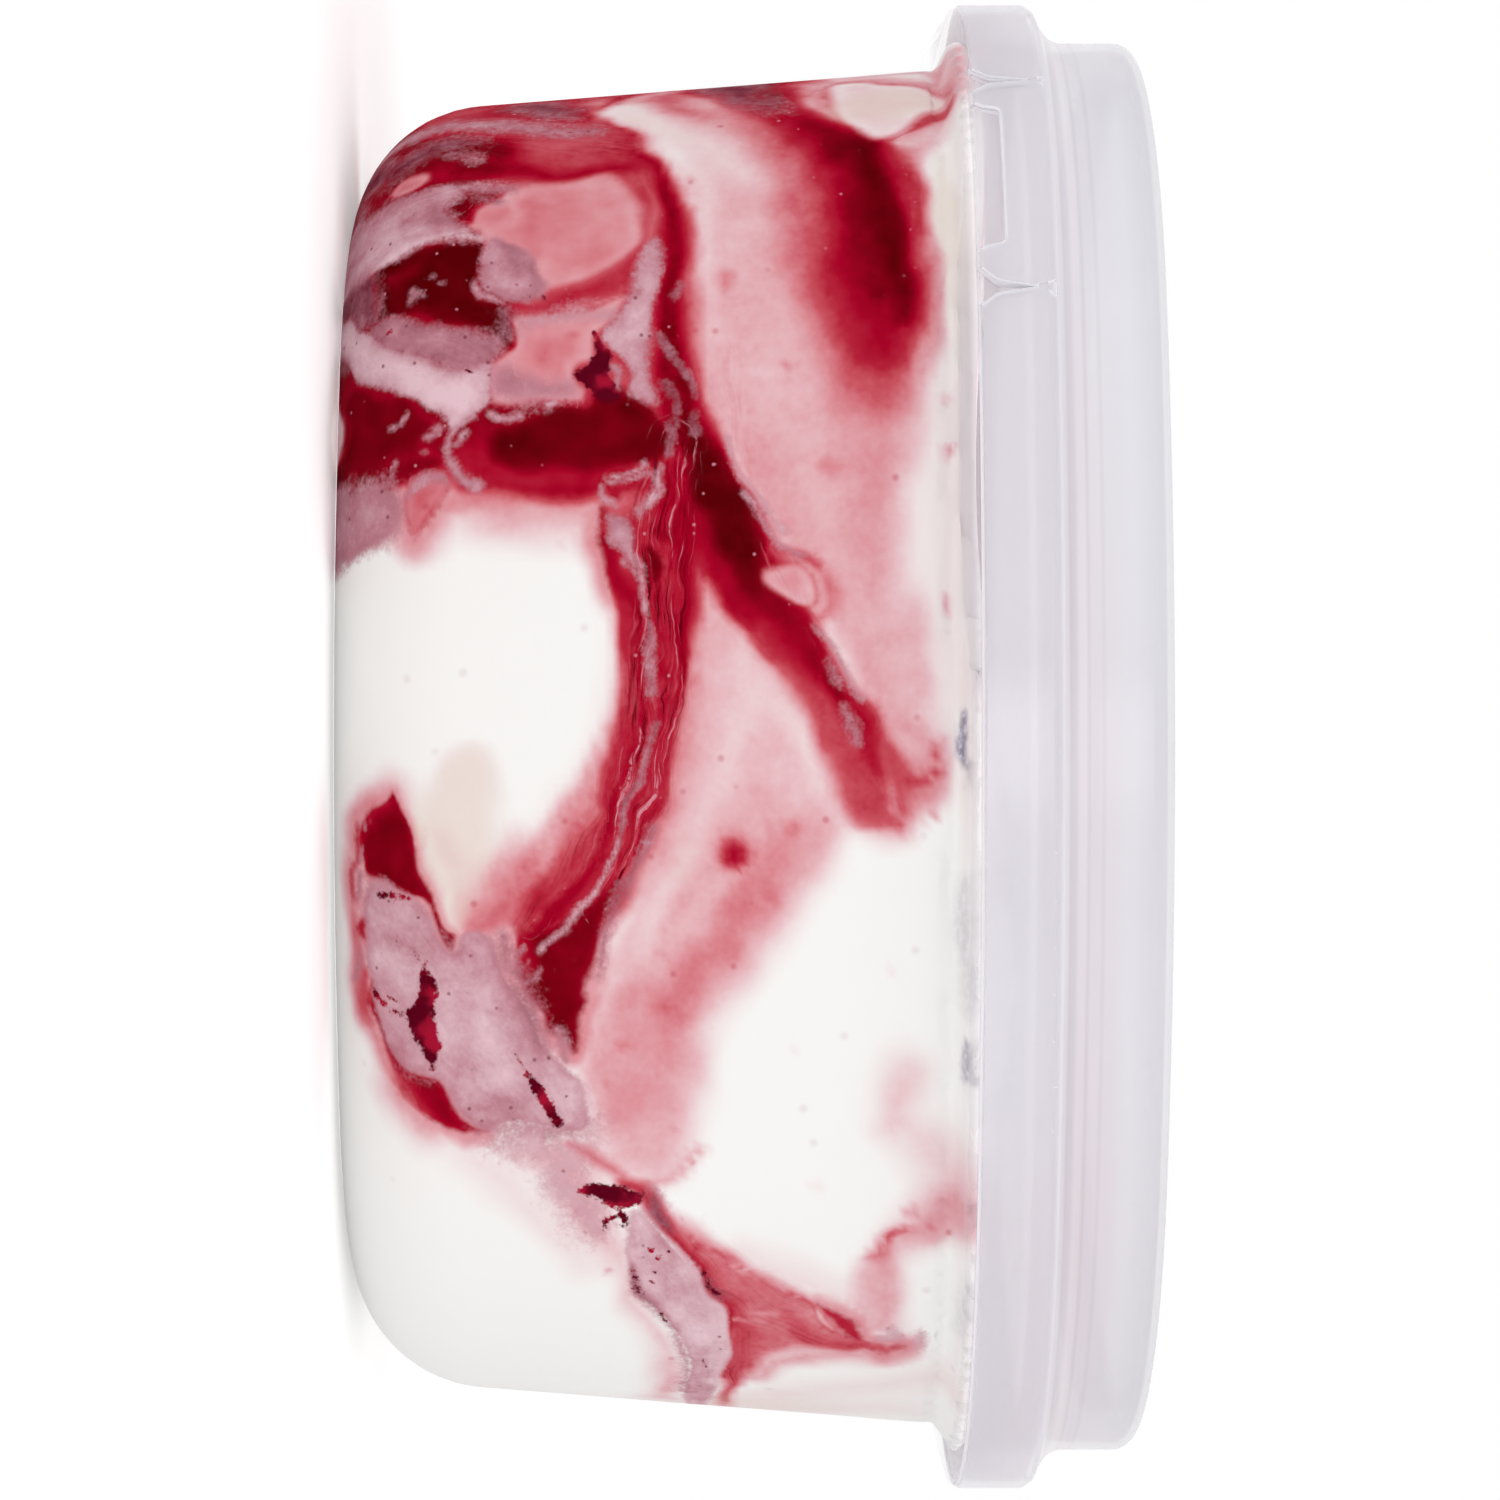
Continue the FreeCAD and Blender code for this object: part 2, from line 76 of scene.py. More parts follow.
# stain: soft-edged (level, softness, points)
stain = [
    # washes: the upper left and the middle pale pink
    (0.33, 9, [(-97, 36), (-84, 34), (-70, 41), (-50, 41), (-36, 43), (-24, 49), (-14, 55), (-4, 61),
        (4, 65), (1, 67.5), (-12, 66.5), (-24, 64.5), (-38, 66), (-46, 66), (-58, 58), (-74, 52),
        (-97, 44)]),
    (0.43, 7, [(-40, 65), (-37, 65.5), (-31, 64), (-25, 62.5), (-19, 62), (-16, 60.5), (-20, 58),
        (-27, 58), (-33, 56.5), (-39, 55)]),
    (0.33, 6, [(-14, 65, 1), (-7, 65.6, 1.5), (-4, 64.6, 1)]),
    (0.35, 5, [(-44, 44, 1), (-37, 46, 2), (-28, 52, 2), (-24, 52, 2), (-20, 58, 1)]),
    (0.38, 4, [(-40, 43.6, 0.8), (-33, 47, 1.2), (-27, 50, 1.2), (-22, 53, 1.2), (-15, 57.4, 1.2),
        (-8, 60.6, 1), (-2, 63.4, 0.8)]),
    (0.20, 5, [(-77, 41, 1), (-73, 42.5, 2), (-68, 46, 1.8), (-66, 49, 0.6)]),
    (0.31, 6, [(-18, 42.5), (-10, 48), (0, 53.5), (8, 57), (12, 52), (14, 46), (12, 42), (16, 38),
        (22, 36), (34, 42), (46, 40), (49.4, 36), (47, 31), (40, 28.6), (34, 28), (22, 32), (12, 36.5),
        (0, 40.5)]),
    (0.22, 6, [(-8, 46.5, 1.5), (-3, 47, 2), (2, 44.5, 1.5), (9, 42, 0.5), (13.5, 40, 1)]),
    (0.18, 7, [(35, 64, 2), (40, 63.5, 2.2), (44, 67, 3), (48, 71, 4)]),
    (0.24, 5, [(36, 65, 0.8), (38, 64, 1.2), (42, 62.6, 0.9)]),
    (0.38, 5, [(50, 72, 2.4), (51.4, 68.5, 2.6), (54.5, 65, 2), (57, 62.6, 1.8), (62, 62.2, 2.2),
        (66, 62.3, 2.2)]),
    (0.39, 4, [(51.8, 73, 0.6), (52.2, 69.5, 0.9), (54, 66.6, 0.8)]),
    (0.34, 5, [(59, 61.5, 1), (63, 60.5, 1.5), (66, 60, 1)]),
    (0.17, 6, [(62.5, 57, 1.5), (60, 52, 1.5), (57, 46, 0.8)]),
    (0.15, 9, [(76, 69, 2), (79, 62, 2), (84, 52, 3), (92, 45, 4)]),
    (0.12, 9, [(86, 64, 3), (92, 50, 5), (94, 38, 4)]),
    (0.33, 7, [(46, 22, 1.5), (47, 27, 2.4), (52, 28.6, 3.4), (57, 31, 2)]),
    (0.14, 6, [(42, 11, 1.5), (46, 16, 2.2), (53, 23, 2), (60, 28.5, 1.5)]),
    (0.28, 5, [(58, 32.6, 0.8), (66, 34.2, 1), (73, 37.5, 1.3), (80, 38, 1.6), (90, 37, 1.6)]),
    (0.34, 3, [(81, 38.6, 0.6), (86, 38.2, 0.6)]),
    # blush diagonal
    (0.41, 7, [(9, 56, 0.6), (11.5, 52.5, 3.2), (15, 49, 4), (21, 44.6, 4.4), (27, 40, 4.2), (33, 37, 4),
        (38, 36, 2.6)]),
    (0.47, 5, [(11, 50, 0.8), (16, 47.4, 2), (20.6, 44.6, 1.4), (27, 40, 1.6), (33, 37.6, 1.6),
        (36, 37, 0.6)]),
    (0.41, 5, [(28, 34.4, 1.2), (34, 33.4, 2), (41.5, 33.2, 1.8)]),
    (0.37, 5, [(10, 45, 0.8), (15, 41.6, 1.6), (20, 38, 1.4)]),
    (0.40, 2.2, [(45, 42.2, 0.4), (47, 40, 0.6), (48.7, 37.8, 0.6), (49.4, 35.6, 0.4)]),
    # the left end: deep below, maroon where the bands run out
    (0.66, 5, [(-100, 30), (-88, 29), (-80, 31.5), (-76, 35), (-66, 37.5), (-50, 40), (-36, 41), (-27, 39),
        (-26.6, 30), (-27, 22), (-28.4, 14), (-31, 4), (-33, -4), (-60, -10), (-100, -12)]),
    (0.86, 4, [(-100, 4), (-82, 10), (-77.5, 19.5), (-72, 20), (-66, 16), (-58, 20), (-48, 22), (-36, 26),
        (-31, 12), (-30, -2), (-60, -9), (-100, -9)]),
    (0.60, 4, [(-75.4, 29, 1), (-74.6, 25, 1.8), (-76, 22.6, 0.8)]),
    (0.92, 3.4, [(-74, 19, 1.2), (-75.4, 14, 2), (-74.6, 7, 2.4)]),
    (0.74, 4, [(-76, 34.5, 1.6), (-80, 31, 0.8)]), (0.84, 4, [(-83, 28, 1), (-86, 24.5, 3), (-89, 20, 3)]),
    (0.78, 5, [(-86, 30, 0.6), (-91, 32, 2), (-97, 34, 3)]),
    (0.88, 6, [(-90, 46, 1), (-94, 44, 3), (-100, 42, 5)]), (0.80, 6, [(-91, 26, 1), (-96, 22, 3)]),
    (0.66, 6, [(-92, 56, 1), (-97, 54, 3)]), (0.84, 4, [(-84, 50, 1.6), (-88, 46, 2.6), (-91, 41, 2.4)]),
    (0.54, 5, [(-80, 42, 1), (-84, 39, 2), (-88, 38, 3)]),
    (0.18, 3, [(-74, 39.6, 1.4), (-77.6, 36.6, 1.4), (-81, 33.8, 1), (-84.6, 32.2, 0.5)]),
    (0.48, 3, [(-94, 72.4, 1), (-87, 72.2, 1.1), (-81, 71.8, 1), (-79, 72.4, 0.6)]),
    (0.42, 3, [(-92, 69.6, 1.2), (-86, 69.4, 1.2), (-82.5, 69.6, 0.7)]),
    (0.36, 6, [(-94, 68, 2), (-93, 60, 2)]),
    (0.36, 2.6, [(-84.4, 68, 0.4), (-87, 64.4, 0.6), (-89, 60.4, 0.6), (-90.4, 57, 0.8)]),
    (0.36, 4, [(-73.4, 69, 0.8), (-70.6, 67.4, 1.2), (-69, 66, 1.4)]),
    (0.62, 1.6, [(-78, 70.6, 0.3), (-76, 69.4, 1.3), (-74.6, 67.6, 1), (-73, 65.4, 0.5),
        (-71.8, 63.6, 0.4)]),
    # first band, from under the lid down to the left end
    (0.50, 6, [(-92, 55, 1.5), (-85, 55, 1.2), (-82, 46, 2), (-76, 48, 1.6), (-70, 51, 2),
        (-62, 52, 1.6)]),
    (0.60, 7, [(-93, 49, 3.4), (-86, 50, 4), (-79, 51.4, 4), (-73, 55, 4.9), (-66, 57.4, 5.4),
        (-60, 57.4, 5.8), (-54, 57.6, 6), (-47, 59.4, 5), (-41, 60.6, 4), (-38, 62, 2)]),
    (0.74, 4, [(-90, 44, 1.5), (-86, 45.5, 2.4), (-81, 49.6, 2.4), (-76, 53.6, 2.6)]),
    (0.80, 5, [(-78, 52.6, 1.4), (-74, 55.6, 3.2), (-70, 58.6, 4.6), (-64, 61, 5), (-58, 61.2, 5.4),
        (-52, 61.6, 5.2), (-47, 62, 4), (-43.4, 62.2, 2.2)]),
    (0.90, 3, [(-77, 53.6, 0.5), (-73.4, 56.4, 1.6), (-69.6, 59.8, 3), (-64, 60.8, 2.8), (-57, 61, 2.6),
        (-51, 62, 1.6)]),
    (0.99, 3, [(-71, 60, 0.5), (-67, 60.8, 1.4), (-62, 62.2, 1.6), (-56, 63.4, 1.6), (-51, 64.4, 1.2),
        (-47, 64.8, 0.5)]),
    (0.72, 3.4, [(-70, 63.2, 0.6), (-66, 65, 0.8), (-60, 66.6, 0.9), (-52, 67.2, 0.9), (-46, 66.2, 0.8),
        (-42, 64.6, 0.6)]),
    (0.90, 6, [(-98, 49, 5), (-90, 49, 3.4), (-83, 50.6, 1.6)]),
    (0.40, 2.4, [(-56, 67.9, 0.6), (-50, 68, 1), (-45, 67.6, 1), (-41, 66.6, 1.2)]),
    (0.05, 1.6, [(-68, 69.4, 0.5), (-64, 68.9, 1), (-58, 69.3, 1), (-53, 70, 0.6), (-48, 70.4, 0.6),
        (-44, 69.9, 0.3)]),
    (0.10, 3, [(-41, 70.4, 1.2), (-36, 69.6, 2), (-25, 69, 2.6), (-14, 69, 2), (-5, 69.6, 1)]),
    # second dark band's left arm
    (0.94, 3, [(-44, 39, 1), (-36, 40, 2), (-28, 40, 2.4), (-25, 40.6, 1.6)]),
    (0.82, 2.6, [(-73, 34.6, 0.6), (-69, 36.6, 1.2), (-64, 38.6, 1.6), (-58, 39.4, 1.8), (-52, 39.2, 1.6),
        (-46, 39.4, 1.4), (-40, 40.4, 1.4)]),
    (0.90, 2, [(-66, 37.6, 0.6), (-58, 38.7, 1), (-52, 38.5, 1.1), (-46, 38.3, 1.4), (-38, 39, 1.8),
        (-30, 39, 2)]),
    (0.60, 3, [(-62, 40.6, 0.5), (-54, 41, 0.5), (-46, 41.2, 0.6), (-38, 42, 0.6), (-30, 45, 0.4)]),
    # left end strips
    (0.80, 2, [(-69.4, 34, 0.6), (-69.4, 29.6, 1.2), (-68.8, 25, 1), (-70.6, 20.6, 1.6), (-72, 16, 2.4),
        (-71, 12.6, 1.2)]),
    (0.90, 3, [(-71.4, 18, 1.4), (-72, 14.6, 1.6)]),
    # main diagonal
    (0.48, 5, [(9, 64.4, 0.2), (8, 61, 1.4), (4, 58.7, 2), (-3, 56.1, 2), (-9, 51.3, 2), (-16, 46.1, 1.6),
        (-21, 42.7, 1)]),
    (0.60, 2.6, [(8.3, 63, 0.5), (7, 60.8, 1.2), (4, 60.7, 2.2), (0, 60.7, 2.4), (-5, 58.1, 1.6),
        (-12, 52.1, 2), (-18, 46.3, 2)]),
    (0.80, 2.4, [(2.6, 60.9, 1), (-0.5, 59.9, 1.8), (-4, 57.7, 1.9), (-8, 54.5, 2), (-13, 51.7, 3.2),
        (-18, 47.9, 3.8), (-24, 45.1, 3.8), (-31, 42.1, 2.8), (-38, 40.6, 1.4)]),
    (0.88, 2.6, [(-5, 57.1, 0.3), (-9, 54.3, 0.8), (-13.4, 51.3, 1.4), (-18, 47.5, 2.2), (-24, 44.7, 2.8),
        (-31, 42, 2)]),
    (0.98, 3, [(-17, 48.3, 0.4), (-21, 46.3, 1.6), (-27, 43.4, 2.4), (-34, 41.2, 1.2), (-40, 39.8, 0.8)]),
    (0.56, 2, [(-20.4, 52.7, 0.3), (-18.4, 55.7, 0.4), (-15.4, 56.3, 0.5), (-13.8, 55, 0.5)]),
    (0.60, 1.0, [(8.7, 63.4, 0.3), (8.4, 61, 0.4), (7.9, 58.6, 0.4)]),
    (0.46, 2.4, [(5.6, 65.6, 0.6), (7.2, 64.6, 0.8)]),
    (0.58, 3, [(8, 61, 0.8), (3, 58, 1.6), (-4, 54.6, 1.2)]),
    (0.62, 2, [(-21, 49.6, 0.5), (-20.6, 52, 0.6), (-19.6, 54.4, 0.5)]),
    (0.80, 2.6, [(-25, 42, 1), (-19, 43, 1.2), (-15, 46, 1.2), (-10, 50.4, 0.8)]),
    (0.66, 3, [(-12, 48.6, 0.6), (-6, 53.4, 1), (0, 57.4, 1.2), (6, 60, 1.6)]),
    (0.62, 2.4, [(1, 62.6, 1.2), (4, 64.4, 1.6), (6.6, 64, 1.4)]),
    (0.42, 4, [(-2, 65, 1), (2, 67, 1.6), (6, 66, 1.4)]),
    # arch band
    (0.46, 3.4, [(-20, 41, 0.6), (-12, 41.6, 0.8), (-4, 41.2, 1), (4, 39.4, 1), (11, 36.9, 1),
        (17, 33.4, 0.8)]),
    (0.72, 2, [(-30, 36.6, 3.8), (-20, 36.8, 4.3), (-12, 36.8, 3.9), (-3, 36.4, 3.6), (5, 34.8, 3.5),
        (12, 31.9, 3.7), (18, 28.4, 4), (23, 25, 4)]),
    (0.42, 4, [(-10, 32.6, 0.4), (-2, 31.4, 0.8), (4, 29, 1), (9, 25.6, 1.4), (13, 22.4, 1)]),
    (0.60, 4, [(2, 32, 0.5), (8, 29, 1.4), (13, 26.4, 1.6), (17, 23.6, 2.2), (19, 22, 1.8)]),
    (0.70, 3, [(12, 28.6, 0.5), (16.6, 25, 1.4), (18.4, 22.4, 1.2)]),
    (0.82, 2.4, [(-30, 38.6, 2), (-24, 40, 1.8), (-17, 40.6, 1), (-10, 40.4, 0.4)]),
    (0.80, 2, [(-29, 33, 1.4), (-24, 33.4, 1.2), (-19, 34, 0.8)]),
    (0.82, 1.8, [(-28.4, 31.4, 0.9), (-24, 31.6, 0.6), (-19, 32.8, 0.7), (-13, 34, 0.5)]),
    (0.72, 2, [(-26, 32.6, 1), (-18, 34, 1.4), (-9, 34.4, 1.2), (0, 33.2, 1), (6, 31.2, 0.7)]),
    (0.03, 2.6, [(-23, 28.6, 0.5), (-17, 30.2, 0.6), (-11, 31.2, 0.6), (-4, 30.6, 0.5), (2, 27.6, 0.6),
        (8, 23.4, 0.6), (12, 20.6, 0.4)]),
    # the white's left side, pink falling to the base
    (0.46, 3.6, [(-27.6, 33.4, 1.6), (-27.6, 27, 1.6), (-27.4, 20, 1.8), (-27, 14, 2)]),
    (0.80, 3, [(-29.2, 34, 1.4), (-28.8, 26, 1.3), (-29.4, 16, 1)]),
    (0.50, 2, [(-29.4, 12, 1), (-26.6, 11, 1.6), (-24.9, 10.2, 0.8)]),
    (0.42, 2.2, [(-27, 8, 2), (-25.6, 4, 2.6), (-25.6, -4, 2.8), (-26, -9, 3)]),
    # creamy facet
    (0.13, 3, [(3, 16, 3), (8, 15, 3.6), (14, 16, 2)]),
    (0.22, 2.2, [(10, 13.4, 0.8), (14, 15, 1.4), (18, 15.4, 0.8)]),
    (0.34, 4, [(10, 21.4, 0.6), (15, 18.6, 1.6), (19, 16.6, 2)]),
    (0.54, 4, [(12, 23, 1), (16, 21, 1.8), (19.6, 18.6, 2), (20.6, 17, 1)]),
    # bottom edges on the right
    (0.50, 3.4, [(12.6, 0.4, 0.4), (15, -0.2, 1.2), (18, 0.4, 1.2), (24, 1.6, 2), (29, 1.4, 2.2),
        (33, 3.6, 1.2), (37, 5.8, 1), (40, 8.6, 0.8)]),
    (0.60, 2.4, [(26.6, 3, 0.8), (29, 2.6, 1.2), (31.6, 3.4, 0.6)]),
    (0.60, 2, [(34, 5.6, 0.6), (38, 8, 1), (40.6, 10, 0.8), (42.6, 12.6, 0.3)]),
    # fan on the right
    (0.40, 4, [(72.6, 61.6, 1), (73.4, 55, 1.1), (74.4, 51.6, 1.2), (79, 48.6, 1)]),
    (0.52, 2.4, [(52, 36.8), (54.4, 41.4), (58.4, 46), (61, 51), (64.4, 55.4), (67, 57.6), (70.6, 60.4),
        (72, 59), (72, 54), (73, 50.4), (77, 48.2), (82, 46), (88, 45), (97, 44.8), (97, 43.6), (86, 43.8),
        (76, 45), (68, 45), (60, 41)]),
    (0.62, 2.4, [(70.4, 60.6, 0.8), (70.6, 57, 0.6), (69.4, 53.6, 1.4), (66, 52, 0.5)]),
    (0.63, 2.4, [(54, 38.2, 0.4), (60, 42.6, 0.8), (65, 45.6, 0.8), (70, 47, 0.8), (76, 46.4, 0.6),
        (82, 45, 0.4), (89, 44.4, 0.5)]),
    (0.74, 1.6, [(54, 37.8, 0.8), (58, 40.4, 0.6), (61.6, 42.8, 0.7), (65.6, 44.8, 0.6), (70, 45.4, 0.3),
        (76, 45.1, 0.3), (80, 44.6, 0.3)]),
    (0.60, 0.8, [(55.4, 41, 0.2), (59.2, 46, 0.25), (61.8, 50.6, 0.25), (64.4, 54, 0.3), (66.6, 56, 0.3)]),
    (0.34, 0.9, [(59.3, 45.4, 0.15), (61.2, 49.6, 0.2), (62.6, 51.6, 0.25)]),
    (0.40, 0.9, [(65.6, 50.6, 0.15), (66, 48, 0.15)]),
    (0.40, 0.9, [(67.6, 48.6, 0.15), (67.2, 45.6, 0.2)]),
    (0.56, 2.2, [(53.3, 64.8, 0.3), (54.4, 62.8, 0.5), (56.4, 62, 0.8), (57.4, 60.6, 0.4)]),
    (0.64, 1.2, [(53.4, 64.6, 0.2), (54.6, 62.6, 0.3)]),
    (0.58, 1.2, [(50.9, 65.3, 0.15), (51.5, 64.7, 0.2)]), (0.56, 1.2, [(52.3, 67.6, 0.2), (53, 67, 0.1)]),
    (0.72, 2, [(49.4, 33.4, 0.6), (50.4, 35.2, 0.9), (52.2, 36.8, 1.2), (54.6, 38.4, 0.8)]),
    (0.54, 2, [(48.6, 33.4, 0.4), (47, 31.4, 0.6), (45.8, 29, 0.6), (44.9, 27.4, 0.4)]),
    # spots
    (0.62, 3, [(11.3, 45.8, 1), (11.9, 45.4, 1)]), (0.80, 2, [(11.5, 45.6, 0.8), (12, 45.3, 0.7)]),
    (0.56, 2.4, [(16.3, 49.8, 0.4)]), (0.54, 1.8, [(9, 52.1, 0.5)]), (0.46, 1.4, [(8.8, 49.5, 0.2)]),
    (0.55, 2.4, [(29.9, 40.2, 0.4)]), (0.54, 2.2, [(29, 37.6, 0.4)]), (0.52, 1.8, [(22.8, 37.2, 0.3)]),
    (0.52, 1.8, [(33, 33.4, 0.4)]), (0.46, 1.6, [(37.7, 31.8, 0.3)]), (0.44, 1.6, [(42.8, 38.8, 0.3)]),
    (0.60, 1.6, [(-30.4, 56, 0.5)]), (0.46, 2.6, [(-30.2, 56.6, 0.8)]), (0.46, 1.8, [(-41.8, 51.6, 0.5)]),
    (0.46, 2, [(-60.2, 51.6, 0.6)]), (0.70, 1.2, [(-52.9, 44.6, 0.3)]), (0.62, 1.2, [(-51.6, 44.2, 0.2)]),
    (0.44, 2, [(-52.4, 44.4, 0.9)]), (0.44, 1.4, [(-36.6, 52.4, 0.3)]), (0.46, 1.3, [(-40, 48.4, 0.3)]),
    (0.40, 1.3, [(-37.3, 47.6, 0.3)]), (0.42, 1.4, [(-55.6, 51.2, 0.2)]), (0.46, 1.6, [(-32, 47.4, 0.4)]),
    (0.40, 1.6, [(-31, 51.4, 0.2)]), (0.44, 1.5, [(-66.4, 40.6, 0.4)]),
    (0.40, 1.2, [(-32, 69.8, 0.3), (-31.6, 68.7, 0.4)]), (0.34, 1.4, [(-37.8, 68.6, 0.3)]),
    (0.40, 1.3, [(-16, 68.6, 0.4), (-14, 68.8, 0.2)]), (0.14, 2.4, [(48.8, 54.7, 0.5)]),
    (0.12, 1.8, [(32.8, 51.8, 0.3)]), (0.12, 1.8, [(24, 62.4, 0.3)]), (0.28, 1.3, [(-22, 26.9, 0.3)]),
    (0.56, 1.2, [(60.5, 31.2, 0.2)]), (0.50, 1.2, [(53.1, 27.7, 0.2)]), (0.38, 1.6, [(-0.8, 47.4, 0.3)]),
    (0.38, 1.6, [(4.4, 48.2, 0.3)]), (0.36, 1.6, [(13.7, 42.6, 0.3)]), (0.36, 1.4, [(0.9, 42.6, 0.2)]),
    # scribbles by the middle of the upper edge
    (0.36, 2.6, [(-1, 68.4, 0.5), (2, 68.4, 0.8), (4, 67.4, 0.6)]),
    (0.60, 1.0, [(-0.6, 67.9, 0.2), (1, 67.1, 0.4), (2, 66.6, 0.2)]),
    (0.62, 1.0, [(2.6, 68.2, 0.2), (2.9, 66.6, 0.4), (3.6, 65.4, 0.4), (3.3, 63.4, 0.3)]),
    (0.36, 0.8, [(5, 67.2, 0.2), (5.9, 67.6, 0.2), (6.8, 67, 0.2), (7.5, 67.7, 0.2), (8.4, 67, 0.15)]),
]

